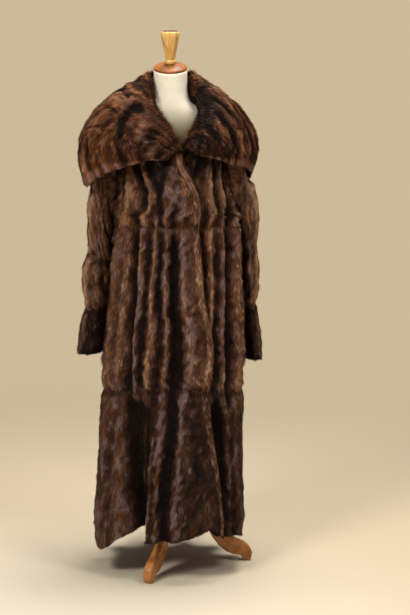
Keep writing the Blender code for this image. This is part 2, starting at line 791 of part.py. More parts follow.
def sleeve_ring(rows, index):
    """One ring of a sleeve: an oval through its two ends, as deep as the table says."""
    turns = np.radians(np.arange(SLEEVE_SIDES) * 360.0 / SLEEVE_SIDES)
    inner = np.array([rows["inner_x"][index], rows["y"][index], rows["inner_z"][index]])
    outer = np.array([rows["outer_x"][index], rows["y"][index], rows["outer_z"][index]])
    middle, half = (inner + outer) / 2, (outer - inner) / 2
    deep = np.array([0.0, -rows["depth"][index], 0.0])
    return middle + np.sin(turns)[:, None] * half + np.cos(turns)[:, None] * deep


def hollowed(ring, wall):
    """The ring moved in towards its own middle by the wall."""
    middle = ring.mean(axis=0)
    reach = np.linalg.norm(ring - middle, axis=1, keepdims=True)
    return middle + (ring - middle) * (1 - wall / reach)


def sleeves(parent):
    for name, rows in SLEEVES.items():
        side = math.copysign(1.0, rows["outer_x"][0])
        rings = [sleeve_ring(rows, index) for index in range(len(rows["y"]))]
        for band, (first, last) in SLEEVE_BANDS.items():
            outer = rings[first:last + 1]
            if first == 0:
                outer = [armhole_ring(side, -WALL), armhole_ring(side, 0.002)] + outer
            else:
                outer = [outer[0] + np.array([0.0, 0.0, -SEAM])] + outer[1:]
            inner = [hollowed(ring, WALL) for ring in outer]
            finish = FUR_DARK if band == "cuff" else FUR_BROWN
            add_object(f"{name}_{band}", wall_mesh(f"{name}_{band}", outer, inner, closed=True), finish, parent)


COLLAR_STOPS = 17       # spans from the foot of the V to the centre back
COLLAR_RISES = 6        # spans from the neckline to the outer edge


def collar_grid(rows, stops, rises):
    """Points of the collar's underside: a smooth row of sections, each a cubic curve."""
    index = {**rows, "index": np.arange(len(rows["z"]), dtype=float)}
    at = np.linspace(0.0, len(rows["z"]) - 1.0, stops + 1)
    bearing, z = (along(index, "index", column, at) for column in ("bearing", "z"))
    ahead = np.maximum(np.cos(np.radians(bearing)), 0.0)
    radius = plain_radius(bearing, np.minimum(z, NECK_Z)) + SEAM + COLLAR_EASE * np.sqrt(ahead)
    over = (bearing < 12.5) & (bearing > -90.0)
    radius = radius + np.where(over, lap(bearing, z), 0.0)
    start = around(bearing, radius, z)
    middle = np.stack([along(index, "index", f"mid_{axis}", at) for axis in "xyz"], axis=-1)
    outer = np.stack([along(index, "index", f"out_{axis}", at) for axis in "xyz"], axis=-1)
    rise = start + (middle - start) * COLLAR_LEAN
    t = np.linspace(0.0, 1.0, rises + 1)[:, None, None]
    return (start * (1 - t) ** 3 + rise * 3 * t * (1 - t) ** 2
            + middle * 3 * t ** 2 * (1 - t) + outer * t ** 3)


def outward_normals(grid):
    """Unit normals of a grid of points, on the side away from the pole."""
    normals = np.cross(np.gradient(grid, axis=0), np.gradient(grid, axis=1))
    normals *= np.sign(np.sum(normals[..., :2] * grid[..., :2]))
    return normals / np.linalg.norm(normals, axis=-1, keepdims=True)


def collars(parent):
    for name, rows in COLLARS.items():
        under = collar_grid(rows, COLLAR_STOPS, COLLAR_RISES)
        side = math.copysign(1.0, rows["out_x"][5])
        normals = outward_normals(under)
        normals[:, -1] *= (0.0, 1.0, 1.0)
        thin = 1 - 0.5 * np.linspace(0.0, 1.0, COLLAR_RISES + 1) ** 2
        over = under + normals * COLLAR_WALL * thin[:, None, None]
        seam = np.array([side * SEAM / 2, 0.0, 0.0])
        under[:, -1] += seam
        over[:, -1] += seam
        add_object(name, wall_mesh(name, over, under), FUR_BROWN, parent)


# ---- dress form ---------------------------------------------------------------------------------------

def torso_radii(z):
    """Reach of the form to each side at a height; its shoulders seat 0.3 mm inside the bodice."""
    return [along(TORSO, "z", column, z) for column in ("side", "front", "back")]


def torso(parent):
    bearings = np.arange(TORSO_SIDES) * 360.0 / TORSO_SIDES
    angle = np.radians(bearings)
    rings = []
    for z in TORSO["z"]:
        side, front, back = torso_radii(z)
        face = np.where(np.cos(angle) > 0, front, back)
        reach = ((np.sin(angle) / side) ** 2 + (np.cos(angle) / face) ** 2) ** -0.5
        if z == SEAT_Z:
            seat = plain_radius(bearings, z) - WALL - 2 * SEAM
            beside = np.abs(np.sin(angle)) > 0.999
            reach = np.where(beside, seat, reach)
        rings.append(around(bearings, reach, z))
    slope = math.tan(math.radians(NECK_TILT))
    rim = around(bearings, NECK_RADIUS, NECK_RIM_Z)
    rim[:, 2] += slope * rim[:, 1]
    rings.append(rim)
    add_object("form_torso", ring_solid("form_torso", rings), LINEN, parent)


def cap_mesh(name, swell):
    """A shallow dome, made larger all over by the swell."""
    turns = np.radians([2, 16, 34, 54, 76])
    radii = [NECK_RADIUS + swell] + [(NECK_RADIUS + swell) * math.cos(turn) for turn in turns]
    heights = [-swell] + [CAP_EDGE + (CAP_RISE + swell) * math.sin(turn) for turn in turns]
    return turned_mesh(name, radii, heights, TORSO_SIDES)


def neck_cap(parent):
    """The wooden cap on the sloping cut of the neck."""
    piece = add_object("neck_cap", cap_mesh("neck_cap", 0.0), CAP_WOOD, parent)
    piece.rotation_euler.x = math.radians(NECK_TILT)
    piece.location = (0, 0, NECK_RIM_Z + SEAM)
    return piece


def finial(parent, cap):
    """The finial's foot is hollowed to sit on the cap's dome."""
    mesh = turned_mesh("finial", FINIAL["radius"], FINIAL["rise"], FINIAL_SIDES)
    piece = add_object("finial", mesh, FINIAL_WOOD, parent)
    piece.rotation_euler.x = math.radians(FINIAL_TILT)
    piece.location = (0, -0.004, FINIAL_FOOT_Z)
    cutter = bpy.data.objects.new("cap_cutter", cap_mesh("cap_cutter", SEAM * 1.2))
    cutter.parent = parent
    cutter.rotation_euler = cap.rotation_euler
    cutter.location = cap.location
    cutter.hide_render = True
    cutter.display_type = "WIRE"
    bpy.context.scene.collection.objects.link(cutter)
    cut = piece.modifiers.new("foot", "BOOLEAN")
    cut.operation = "DIFFERENCE"
    cut.solver = "EXACT"
    cut.object = cutter


def pole_and_hub(parent):
    top = float(TORSO["z"][0]) - SEAM
    pole = turned_mesh("form_pole", [POLE_RADIUS] * 2, [HUB_TOP + SEAM, top], POLE_SIDES)
    add_object("form_pole", pole, LEG_WOOD, parent).location.x = STAND_X
    radii = [HUB_RADIUS * 0.7, HUB_RADIUS, HUB_RADIUS, HUB_RADIUS * 0.8]
    heights = [HUB_BOTTOM, HUB_BOTTOM + 0.012, HUB_TOP - 0.010, HUB_TOP]
    hub = turned_mesh("leg_hub", radii, heights, POLE_SIDES)
    add_object("leg_hub", hub, LEG_WOOD, parent).location.x = STAND_X


def legs(parent):
    for name, bearing in LEG_BEARINGS.items():
        model = bmesh.new()
        outline = [(reach, -LEG_THICK / 2, z)
                   for rows in (LEG_TOP, LEG_BELOW) for reach, z in zip(rows["reach"], rows["z"])]
        face = model.faces.new([model.verts.new(point) for point in outline])
        push = bmesh.ops.extrude_face_region(model, geom=[face])
        moved = [item for item in push["geom"] if isinstance(item, bmesh.types.BMVert)]
        bmesh.ops.translate(model, verts=moved, vec=(0, LEG_THICK, 0))
        piece = add_object(name, finished_mesh(name, model), LEG_WOOD, parent)
        piece.rotation_euler.z = math.radians(bearing - 90.0)
        piece.location.x = STAND_X


# ---- assembly -----------------------------------------------------------------------------------------

def centre_on_base(parent):
    """Move the part so that the centre of its box's base is the origin."""
    bpy.context.view_layer.update()
    corners = [piece.matrix_world @ Vector(vertex.co)
               for piece in parent.children for vertex in piece.data.vertices]
    lowest = [min(corner[axis] for corner in corners) for axis in range(3)]
    highest = [max(corner[axis] for corner in corners) for axis in range(3)]
    parent.location = (-(lowest[0] + highest[0]) / 2, -(lowest[1] + highest[1]) / 2, -lowest[2])


def main():
    for item in list(bpy.data.objects):
        bpy.data.objects.remove(item)
    parent = bpy.data.objects.new("coat_on_form", None)
    bpy.context.scene.collection.objects.link(parent)
    for panel in PANELS:
        add_object(panel.name, panel_mesh(panel), panel.finish, parent)
    front_band(parent)
    sleeves(parent)
    collars(parent)
    torso(parent)
    finial(parent, neck_cap(parent))
    pole_and_hub(parent)
    legs(parent)
    centre_on_base(parent)


main()
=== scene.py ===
"""Looks of a full-length fur coat on its dress form.

Every panel of the coat is a thin pelt, a closed shell, with a piece of fur on it: short tapered hairs that
lie down the garment in locks.  The surfaces come from the same tables of sizes as the solids that they stand
for, with the folds drawn finer and with creases and small lumps added.  The form gets a smooth cover and
turned and carved wood, and stands on a floor of pale paper under soft light.
"""
import math
from collections import namedtuple

import bmesh
import bpy
import numpy as np
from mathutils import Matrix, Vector


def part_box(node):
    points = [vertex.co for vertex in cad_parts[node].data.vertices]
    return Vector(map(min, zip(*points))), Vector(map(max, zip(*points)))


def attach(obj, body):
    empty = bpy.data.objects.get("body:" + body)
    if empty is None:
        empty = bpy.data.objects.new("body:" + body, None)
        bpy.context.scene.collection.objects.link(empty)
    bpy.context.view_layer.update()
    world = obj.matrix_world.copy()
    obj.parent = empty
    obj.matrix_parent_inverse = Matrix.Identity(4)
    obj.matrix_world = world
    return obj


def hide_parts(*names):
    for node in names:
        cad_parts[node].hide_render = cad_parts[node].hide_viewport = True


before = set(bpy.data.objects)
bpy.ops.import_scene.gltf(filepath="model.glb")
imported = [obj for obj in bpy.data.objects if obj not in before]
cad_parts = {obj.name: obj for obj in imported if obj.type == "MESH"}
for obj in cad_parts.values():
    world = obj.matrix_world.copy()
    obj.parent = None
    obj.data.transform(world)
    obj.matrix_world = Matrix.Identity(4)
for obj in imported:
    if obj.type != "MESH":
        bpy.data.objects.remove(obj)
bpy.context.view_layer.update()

# ---- sizes of the coat, metres and degrees ----

WALL = 0.008            # pelt and fur together, as the solids have them
SEAM = 0.0003
LAP_GAP = 0.0015
LAP_BLEND = 8.0
LAP_START = 5.0
ROUNDNESS = 2.3
WAIST_Z = 1.09
KNEE_Z = 0.575
KNEE_LIFT = 0.03
NECK_Z = 1.545
WAIST_PINCH = 0.003
KNEE_PINCH = 0.006
PINCH_REACH = 0.016
WAIST_HOLD = 0.65
KNEE_HOLD = 0.6
EDGE_POWER = 4
ARMHOLE_Z = 1.265
ARMHOLE_HALF = 0.135
ARMHOLE_SPREAD = 23.0
BAND_WIDTH = 0.022
BAND_THICK = 0.006
BAND_TOP_Z = 1.327      # no row of the strip lies higher
NARROW_SHARE = 0.3
COLLAR_WALL = 0.012
COLLAR_EASE = 0.004
COLLAR_LEAN = 0.34
LAPPED_TO = 12.5        # the collar rests on the lapping front up to this bearing
NECK_RADIUS = 0.0515
NECK_TILT = 18.0
NECK_RIM_Z = 1.566
FINIAL_TILT = 8.0
FINIAL_FOOT_Z = 1.572
STAND_X = 0.02

UNITS = {"mm": 1000, "%": 100, "deg": 1}      # how many make a metre, one, and a degree


def tables(columns, units, text):
    """Named tables of sizes: a line with one word starts a table, and the lines after it are its rows."""
    found = {}
    for words in filter(None, map(str.split, text.splitlines())):
        if len(words) == 1:
            rows = found[words[0]] = []
        else:
            rows.append(words)
    scale = np.array([UNITS[unit] for unit in units.split()])[:, None]
    return {name: dict(zip(columns.split(), np.array(rows, dtype=float).T / scale))
            for name, rows in found.items()}


def table(columns, units, text):
    """One table of sizes without a name."""
    return tables(columns, units, "rows\n" + text)["rows"]


# Outer surface of the coat without its folds: the reach from the pole to each side at a height.
BODY = table("z left right front back", "mm mm mm mm mm", """
  50 246 226 226 236
 190 245 225 225 235
 300 236 221 218 228
 450 228 224 205 215
 590 222 231 190 200
 660 216 226 185 190
 750 203 220 174 175
 880 186 216 160 157
1000 177 214 147 142
1090 171 208 138 131
1200 170 197 155 135
1300 175 190 157 140
1355 185 195 147 135
1400 188 190 127 115
1430 145 147 112  97
1470  85  87  88  83
1510  66  67  66  71
1560  60  61  58  66
""")

# Free edges of the two fronts: bearing of the lapping edge and of the edge beneath it.
EDGE = table("z over under", "mm deg deg", """
  50   42   -4
 250   41   -4
 330   39   -4
 460 34.7   -4
 600 33.4   -4
 745 38.3   -1
 870 33.7   -1
 990 32.5   -1
1090 32.5   -1
1140 33.2   -1
1170   31   -1
1200   28    0
1230   23    2
1272   16    5
1317   12 12.5
1352    7   21
1383  0.6   29
1410 -8.5   36
1440  -20   46
1485  -36   60
1550  -80   80
""")

# Height of the hem by bearing.
HEM = table("bearing z", "deg mm", """
-90 112
-66  94
-57  87
-51 103
-46 122
-40 136
-33 158
-26 150
-21 136
 -8 135
  4 138
 20 153
 32 168
 42 135
 58 126
 72 112
 90 118
120 108
150 122
180 112
215 121
245 108
270 118
""")

# Folds of each panel, from one of its upright sides to the other: where each ridge or trough stands at
# the top and at the bottom, how far it stands out or sinks in, its painted light (painted shade in the
# troughs, painted highlight on the ridges) and its painted silvery sheen.
FOLDS = tables("top bottom rise_top rise_bottom glow grey", "deg deg mm mm % %", """
bodice_right_front
-90 -90  0   0  20 10
-70 -72  0   0  20  0
-53 -59  6  13  80 10
-41 -41 -5 -11   4  0
-31 -32  6  11  75 10
-21 -21 -3  -7  12 10
-10 -10  2   3 -10 80
  0   0  2   3  -5 60
 10  10  1   2  15 40
 18  18  3   4  50 10
 24  24  3   5  50 10
bodice_left_front
-1 -1 -1  -2 20 10
16 16 -2  -3 20 10
28 28 -3  -4 10  0
37 37 -6 -12  2  0
46 46 -4  -9  8 10
56 56  6  11 60 10
64 63 -1  -5 20 10
71 71  4   9 65 20
80 80 -1  -2 20  0
90 90  0   0 15  0
bodice_back
 90  90  0  0 25  0
106 106  3  5 60 10
119 119 -3 -7  8  0
133 133  4  9 70 20
147 147 -3 -6 10 10
160 160  2  7 50 40
175 175 -2 -5 10 10
189 189  3  8 65 10
204 204 -3 -8  6  0
218 218  3  9 70 10
231 231 -3 -6 12 10
248 248  2  5 45 30
270 270  0  0 25  0
upper_skirt_right_front
-90 -90  -1  -2 20  0
-78 -79  -1  -3 30 10
-63 -66  16  14 70 10
-53 -55   2   3 40 10
-42 -40 -19 -30  0  0
-34 -34   6   8 55 60
-25 -30  -6  -3 15 10
-17 -22  10  16 85 10
-11 -12  -6  -8 20 20
 -4  -6   8  10 25 40
  5   4 -14 -26  0  0
 14  14   9  12 55 60
 20  21   6  10 70 10
 24  27   7   9 70  0
upper_skirt_left_front
-1 -1  -8 -14 20  0
 5  4 -20 -33  5  0
14 14 -12 -18 20  0
25 22  -5  -7 20 10
38 28 -12 -10 10  0
47 35   8  10 80  0
54 42  -3  -8 15 10
58 49  10   6 45 50
64 57 -18 -28  5 10
73 71  18  21 70 10
81 79  -2  -4 15  0
90 90  -1  -2 25  0
upper_skirt_back
 90  90  -1  -2 25  0
101 100  -2  -3 25 10
112 111   8  16 75 10
123 123 -10 -20  2  0
133 134   9  13 50 60
143 144  -7 -14  8 10
153 154  10  17 85 10
165 165 -10 -24  0  0
176 177   9  14 60 30
187 187  -6 -10 10 20
197 198  10  18 55 60
208 209  -9 -19  2  0
219 220   8  13 90  0
229 230  -8 -13  8 10
240 241  10  18 60 30
252 253  -6 -12 10  0
262 262  -1  -2 30 10
270 270  -1  -2 25  0
lower_skirt_right_front
-90 -90   0    0 30 10
-75 -76   4    5 45 20
-60 -60  12   18 50 20
-48 -46   0   -6 30 20
-38 -28 -28 -100  0  0
-21 -23 -10  -45 10  0
-12 -20   4    9 35 50
 -7 -13  12   12 45 60
  4  -6 -12  -18  2 10
 11   1  10    9 35 60
 21  17   4    3 20  0
 27  36   4    4 30  0
lower_skirt_left_front
-4 -4 -24 -34 15  0
 8  7 -10 -26 15  0
22 22  -4 -12 15  0
34 39 -16 -24  5  0
43 47 -36 -24  0  0
53 55  -2   0 25 20
62 63  11  13 45 20
76 76   4   4 35 10
90 90   0   0 30 10
lower_skirt_back
 90  90   0   0 30 10
107 108  10  16 50 20
122 123 -22 -55  0  0
136 138  10  12 40 50
151 152 -18 -35  2  0
166 167  10  14 45 30
182 183 -26 -65  0  0
197 197   9  14 35 50
212 212 -15 -34  4 10
228 229  12  16 50 20
246 247 -22 -50  0  0
258 258   6  10 35 10
270 270   0   0 30 10
""")

# Sleeve rings after the armhole: the ring's ends next to the body and away from it, its middle in Y and
# its half depth in Y.
SLEEVES = tables("inner_x inner_z outer_x outer_z y depth", "mm mm mm mm mm mm", """
sleeve_right
-181 1124 -211 1390  0 72
-181 1117 -233 1350  0 74
-180 1106 -245 1295  2 75
-180 1086 -251 1225  5 74
-182 1055 -264 1150  9 73
-184 1015 -265 1075 11 72
-187  975 -265 1010 13 71
-190  930 -281  950 14 72
-194  880 -283  890 14 72
-201  828 -276  832 13 68
-208  776 -290  778 11 70
-215  732 -296  732  8 70
-222  688 -300  688  5 68
sleeve_left
208 1124 212 1390  0 72
212 1117 230 1350  0 74
216 1106 232 1300  4 75
218 1088 238 1240 10 74
220 1060 264 1205 17 73
221 1022 279 1125 26 72
221  985 274 1030 29 70
222  935 280  955 31 71
223  880 279  890 32 71
225  828 274  832 33 66
228  775 280  777 33 69
231  720 286  720 33 69
234  665 292  665 33 67
""")
SLEEVE_BANDS = {"head": (-1, 6), "elbow": (6, 9), "cuff": (9, 12)}
RING_SEAMS = (6, 9)
# Upright folds round a sleeve, from its front (turn 0) over its outer side (turn 90) and back, with the
# painted light and shade and the painted silvery sheen of their fur.
SLEEVE_FOLDS = table("turn rise glow grey", "deg mm % %", """
  0    3 45 30
 22 -3.5 15 20
 48  3.5 85 10
 78   -3 25 10
105    3 42 20
135 -3.5 10  5
165    3 38 20
195   -3 10  5
225  3.5 30 10
258  6.5  5  0
298    6  5  0
332   -1 12 10
360    3 45 30
""")
BAND_SHADE = {"head": 1.0, "elbow": 0.9, "cuff": 0.35}

# Collar sections from the foot of the V round to the centre back: where the section starts on the
# neckline, then the point that pulls it out over the shoulder, then its outer edge.
COLLARS = tables("bearing z mid_x mid_y mid_z out_x out_y out_z", "deg mm mm mm mm mm mm mm", """
collar_right
  12 1317   12 -184 1314   -6 -180 1300
   1 1383  -50 -196 1352  -80 -184 1293
 -20 1440 -125 -195 1390 -135 -176 1276
 -45 1500 -200 -168 1425 -180 -156 1262
 -72 1540 -275 -110 1420 -225 -122 1236
 -92 1548 -328  -35 1415 -253  -72 1212
-108 1550 -338   40 1412 -264   -8 1216
-124 1552 -305  105 1417 -249   58 1205
-142 1553 -225  165 1428 -200  118 1185
-161 1554 -115  200 1440 -108  158 1168
-180 1554    0  210 1440    0  172 1160
collar_left
 16 1324  56 -182 1328  62 -178 1320
 21 1352  88 -192 1345 108 -176 1308
 33 1400 135 -186 1375 150 -162 1297
 48 1446 190 -160 1410 190 -138 1282
 66 1500 245 -118 1418 226 -104 1272
 84 1548 296  -55 1410 243  -54 1260
102 1550 322   20 1404 248    8 1250
120 1552 299   95 1404 239   66 1222
140 1553 220  160 1425 198  122 1190
160 1554 115  200 1440 108  158 1170
180 1554   0  210 1440   0  172 1160
""")

# Soft troughs (and ridges, where the depth is negative) drawn on a surface: each runs between two places,
# given as shares across and down it, with its half width and depth.
CREASES = tables("across1 down1 across2 down2 width depth", "% % % % mm mm", """
collar_right
76 18 79 86 17 11
54 25 32 21 11  9
70 40 48 33  8  8
71 56 44 50  8  9
67 69 48 67  6  7
63 22 45 18  7  5
70 48 46 42  9 -5
68 31 47 26  8 -4
87 30 90 78 10  5
83 35 84 75  9 -4
95 42 88 92  7  3
57 74 58 97  9  6
48 70 50 98  9  6
40 25 38 95 14  8
31 35 30 98 11  6
22 22 21 90 14  8
12 30 13 98 12  7
 4 35  5 90 10  5
35 30 34 90 12 -4
17 30 17 90 12 -4
collar_left
12 22 16 55  9  6
16 55  6 72  8  5
20 30 24 92 12  6
31 25 33 95 12  7
40 30 41 70  9  5
47 42 48 96 11  7
36 30 37 90 12 -4
44 35 44 80 11 -5
50 30 60 26  8  5
55 40 57 95 12  7
66 25 68 92 13  8
77 35 77 97 11  6
87 28 86 92 13  7
95 40 95 95  9  5
72 30 72 90 12 -4
90 40 91 90 10 -4
bodice_right_front
62 72 86 66 8 5
66 86 90 84 7 4
30 84 44 88 7 3
sleeve_right_head
 0 52 40 47 9 7
 4 60 35 62 8 6
62 50 98 56 9 8
70 66 97 60 8 6
72 80 96 86 9 7
78 34 99 30 8 5
sleeve_left_head
 0 42 35 47 8 8
 2 60 40 55 8 7
 3 74 32 78 9 6
 2 30 28 26 8 5
60 48 85 50 9 6
lower_skirt_right_front
72 62 52 97  9 5
10 20 16 80 10 3
78 30 76 70 10 4
lower_skirt_left_front
84 10 86 60 10 3
lower_skirt_back
 8 30 12 95 10 4
36 50 30 97  9 4
62 40 65 90 10 3
88 20 86 75 10 4
""")

# Places on a collar half, as shares across and down it, where painted warm highlights and painted silvery
# sheen lie, and painted shade where the glow is below zero.
COLLAR_GLOW = tables("across down reach_across reach_down glow grey", "% % % % % %", """
collar_right
64 33  9  6 130 25
58 44 10  6 140 10
53 60  8  6 110  5
66 84  9 12  90  0
52 90  6 10  90 10
79 75  4 30 -65  0
70 40  3 12 -60  0
72 18  5 10  50  0
86 58  5 18  25 20
95 78  5 14  35 15
35 55  3 35  70 10
26 60  2 30  50 30
17 55  3 35  75  5
 8 60  2 30  50 20
collar_left
25 50 30 60 -38  0
46 55  3 18  65  0
36 85  6  8  45 10
16 60  4 30 -45  0
26 52  5 10  35  0
35 30  6 22 -50  0
52 45  3 25  30 20
61 60  2 30  45 10
30  8 16 10 -45  0
72 60  3 30  60 20
82 55  2 30  75  0
92 60  2 30  55 20
""")
# How much painted highlight the rolled strip has at a height, and painted shade where it is below zero.
BAND_GLOW = table("z glow", "mm %", """
 300 -15
 660  10
 980  35
1300  75
""")

TORSO = table("z side front back", "mm mm mm mm", """
 745   60   45   50
 755  105   75   85
 800  135   95  108
 880  146  106  117
 970  132  100  103
1060  116   96   92
1140  124  110   94
1220  138  127  100
1300  149  122  105
1360  156  106  100
1400  152   88   86
1430  130   74   72
1460   70   62   60
1490   54   54   53
1520 51.5 51.5 51.5
""")
CAP_PROFILE = table("radius height", "mm mm", """
49.8    0
51.2  0.6
51.5  2.2
51.1  4.4
  50  6.4
47.8  8.4
46.2    9
  44 10.4
  40 12.6
  35 14.6
  29 16.2
  23 17.4
  16 18.2
   8 18.6
""")
FINIAL_PROFILE = table("radius height", "mm mm", """
  15    10
16.4    11
17.2  13.5
17.5  16.5
17.2  19.5
15.8    22
  14  23.2
13.9  24.8
15.2  26.2
15.8    29
16.8    36
  18    43
19.4    51
21.3    61
23.6    72
  26    83
27.9    92
28.6    98
28.4   104
27.6   107
26.2 108.6
  25   109
  12 108.8
""")

# ---- sizes that only the looks need ----

BAND_SHARES = (-0.15, 1.12)     # the strip reaches past both of its sides, in shares of its width
BAND_COLUMNS, BAND_ROWS = 9, 48
BAND_ROW_STEP = 0.002   # a row nearer than this to the last one is left out
BAND_TUCK = 0.004       # how far the strip's first column dips under the fur
PELT_DEPTH = 0.0045     # the pelt's outer side lies this far under the fur's reach
PELT_WALL = 0.0018
PELT_SHADE = 0.45       # how much of the hairs' colour the pelt has
ROW_STEP = 0.0075       # distance between rows of a pelt's points
FOLD_STEPS = 6          # columns between a ridge and the next trough
SLEEVE_STEPS = 44
COVER_STEPS = 72        # points round the form's cover, and then the heights of its rings
COVER_Z = np.concatenate([[0.745, 0.7475, 0.751], np.linspace(0.755, 1.52, 90)])
COLLAR_STEPS, COLLAR_ROWS = 76, 42
ROLL_TURNS = (175, 140, 105, 70, 35)     # where the collar's rim has rows of points, round its thickness
HAIRS_PER_AREA = 240000  # hairs on a square metre
MOST_HAIRS = 190000     # on one piece
HAIR_WIDTH = 0.0017
HAIR_SINK = 0.0004      # hairs start this far inside the pelt
HAIR_SHORTEST = 0.006
LOCK_WIDE, LOCK_TALL = 0.0060, 0.0110     # hairs lie together in locks of this size
SEAM_REACH = 0.012      # how far hairs pass a sewn lower edge
EDGE_REACH = 0.003      # and a free one
SEWN = ("bodice", "upper", "_head", "_elbow")
FOLD_WANDER, FOLD_SWELL = 1.8, 0.35      # folds wander by so many degrees, and swell by such a share
FOLD_WANDER_WIDE, FOLD_WANDER_TALL = 16.0, 0.130      # over so many degrees and metres
WANDER_SEED, SWELL_SEED = 31, 32
FOLD_STEADY, WAIST_STEADY = 12.0, 0.05      # and less so near a side, in degrees, or the waist
FOLD_HEIGHT, CREST_HEIGHT = 0.012, 0.0026     # a fold and a lump this high have the full relief
FOLD_PASSES, CREST_PASSES = 60, 6       # smoothing that takes folds away, and that takes only lumps away
LUMP_SINK = 0.2         # all lumps are lowered by this share of their height
LOFT_LIFT, LOFT_LENGTH = 28.0, 0.35      # degrees and share that a full loft adds to the hairs
SLEEVE_SIDE, SLEEVE_SIDE_REACH = 84.0, 18.0   # bearings where the body meets a sleeve
SLEEVE_LOW = 0.66
SIDE_FILL = 0.0045      # how far the body's sides swell towards the sleeves
SIDE_SHADE = 0.45       # and how much painted shade darkens them there, between body and sleeve
RING_PINCH = 0.0045     # how far ring seams draw a sleeve in
RING_REACH = 0.35       # and over what share of a ring
WAIST_GLOW, TIER_END_SHADE, TIER_TOP_GLOW = 0.35, 0.25, 0.40      # painted light and shade along the seams
EDGE_GLOW = {"bodice": 0.70, "upper": 0.25, "lower": 0.10}      # painted highlight along the lapping front's edge
COLLAR_SHADE, COLLAR_SHADE_Z = 0.9, 1.235     # painted shadow of the collar on the bodice, from this height up
# Painted light and painted silvery sheen that the whole collar starts from.
COLLAR_BASE_GLOW, COLLAR_BASE_SHEEN = 0.36, 0.02
FRINGE_START, FRINGE_REACH = 0.925, 0.035     # painted highlight and painted sheen along the collar's free edge
FRINGE_GLOW, FRINGE_SHEEN = 1.20, 0.80

# Each kind of fur: its warmth and its painted silvery sheen before folds and noise count, how much its
# relief (painted shade in hollows, painted highlight on crests), patches, broad patches and streaks (random
# flecks and painted glints) change it, its roughness where it is glossiest, the height of its lumps, and the
# length of its hairs, the degrees that they stand off and the degrees that they sway.
Fur = namedtuple("Fur", "level grey relief patch broad streak dull lump length lift sway")
FURS = {
    "bodice": Fur(0.39, 0.05, 0.30, 0.10, 0.20, 1.0, 0.36, 0.0040, 0.013, 17.0, 14.0),
    "upper": Fur(0.31, 0.04, 0.24, 0.10, 0.18, 1.0, 0.36, 0.0038, 0.013, 17.0, 12.0),
    "lower": Fur(0.02, 0.12, 0.21, 0.10, 0.12, 0.5, 0.42, 0.0036, 0.014, 16.0, 12.0),
    "sleeve": Fur(0.49, 0.04, 0.30, 0.12, 0.20, 1.0, 0.36, 0.0046, 0.013, 18.0, 16.0),
    "cuff": Fur(0.09, 0.10, 0.28, 0.10, 0.10, 0.6, 0.40, 0.0034, 0.013, 17.0, 14.0),
    "collar": Fur(-0.10, -0.02, 0.42, 0.24, 0.10, 0.9, 0.44, 0.0038, 0.014, 19.0, 20.0),
    "band": Fur(0.34, 0.0, 0.30, 0.10, 0.30, 1.8, 0.38, 0.0026, 0.012, 15.0, 10.0),
}
FUR_COLOURS = table("level red green blue", "% % % %", """
  0    1  0.5 0.36
 20  2.6 0.98 0.52
 45  6.4  2.3    1
 75 14.5  5.6  2.4
105   31   14  6.5
140   56   33   19
""")
GLOW_WEIGHT = 0.44
FLECK, GLINT, SPARK = 0.12, 0.28, 0.32      # how much lighter random flecks, painted glints and painted sparks make a streak
COLLAR_TONE = np.array((1.02, 0.90, 0.74))
HIDE_COLOUR = np.array((0.050, 0.020, 0.010))
# The colour of the painted silvery sheen, a painted reflection of the lights on the hairs.
PAINTED_SHEEN_COLOUR = np.array((0.300, 0.210, 0.215))
# At a hair's two roots and its tip: its brightness, and how its shading leans back along it and sideways.
HAIR_TONE = np.array([0.60, 0.60, 1.10])
HAIR_LEAN = np.array([0.40, 0.40, -0.10])
HAIR_TURN = np.array([-0.22, 0.22, 0.0])

# Noises on the cloth: the size of their features, a factor on the way down the cloth, which makes them
# longer where it is below 1, and their seed.
Grain = namedtuple("Grain", "size squash seed")
GRAINS = {
    "ridges": Grain(0.030, 0.60, 0),
    "knolls": Grain(0.016, 0.80, 1),
    "bumps": Grain(0.009, 1.0, 2),
    "bends": Grain(0.040, 0.5, 3),
    "fleck": Grain(0.0075, 0.7, 5),
    "patch": Grain(0.026, 0.6, 6),
    "sheen": Grain(0.013, 0.6, 7),
    "glint": Grain(0.0070, 0.6, 8),
    "spark": Grain(0.0040, 0.5, 9),
    "broad": Grain(0.065, 0.5, 10),
    "length": Grain(0.012, 1.0, 11),
    "sway": Grain(0.035, 0.6, 12),
    "lift": Grain(0.011, 1.0, 13),
    "stray": Grain(0.020, 1.0, 14),
    "shine": Grain(0.010, 0.6, 16),
}
LOCK_SEED = 15


# ---- curves, noise and surfaces ----

def along(rows, key, column, at):
    """A smooth curve through one column of a table, read where the key column has the value `at`."""
    knots, values = rows[key], rows[column]
    slopes = np.gradient(values, knots)
    at = np.clip(np.asarray(at, dtype=float), knots[0], knots[-1])
    i = np.clip(np.searchsorted(knots, at) - 1, 0, len(knots) - 2)
    step = knots[i + 1] - knots[i]
    t = (at - knots[i]) / step
    start, end = values[i], values[i + 1]
    leave, arrive = slopes[i] * step, slopes[i + 1] * step
    return (start * (1 + 2 * t) * (1 - t) ** 2 + end * t * t * (3 - 2 * t)
            + leave * t * (1 - t) ** 2 - arrive * t * t * (1 - t))


def by_row(rows, at):
    """Smooth curves through all columns of a table, read at a row number that may lie between two rows."""
    numbers = {**rows, "row": np.arange(len(next(iter(rows.values()))), dtype=float)}
    return [along(numbers, "row", column, at) for column in rows]


def ease(t):
    """0 below 0, 1 above 1, and a soft step between."""
    t = np.clip(t, 0.0, 1.0)
    return t * t * (3 - 2 * t)


def bump(distance, reach):
    """1 at no distance, falling softly to nothing beyond the reach."""
    return np.exp(-(distance / reach) ** 2)


def around(bearing, radius, z):
    """Points at bearings, radii and heights around the pole."""
    angle = np.radians(bearing)
    return np.stack(np.broadcast_arrays(radius * np.sin(angle), -radius * np.cos(angle), z), axis=-1)


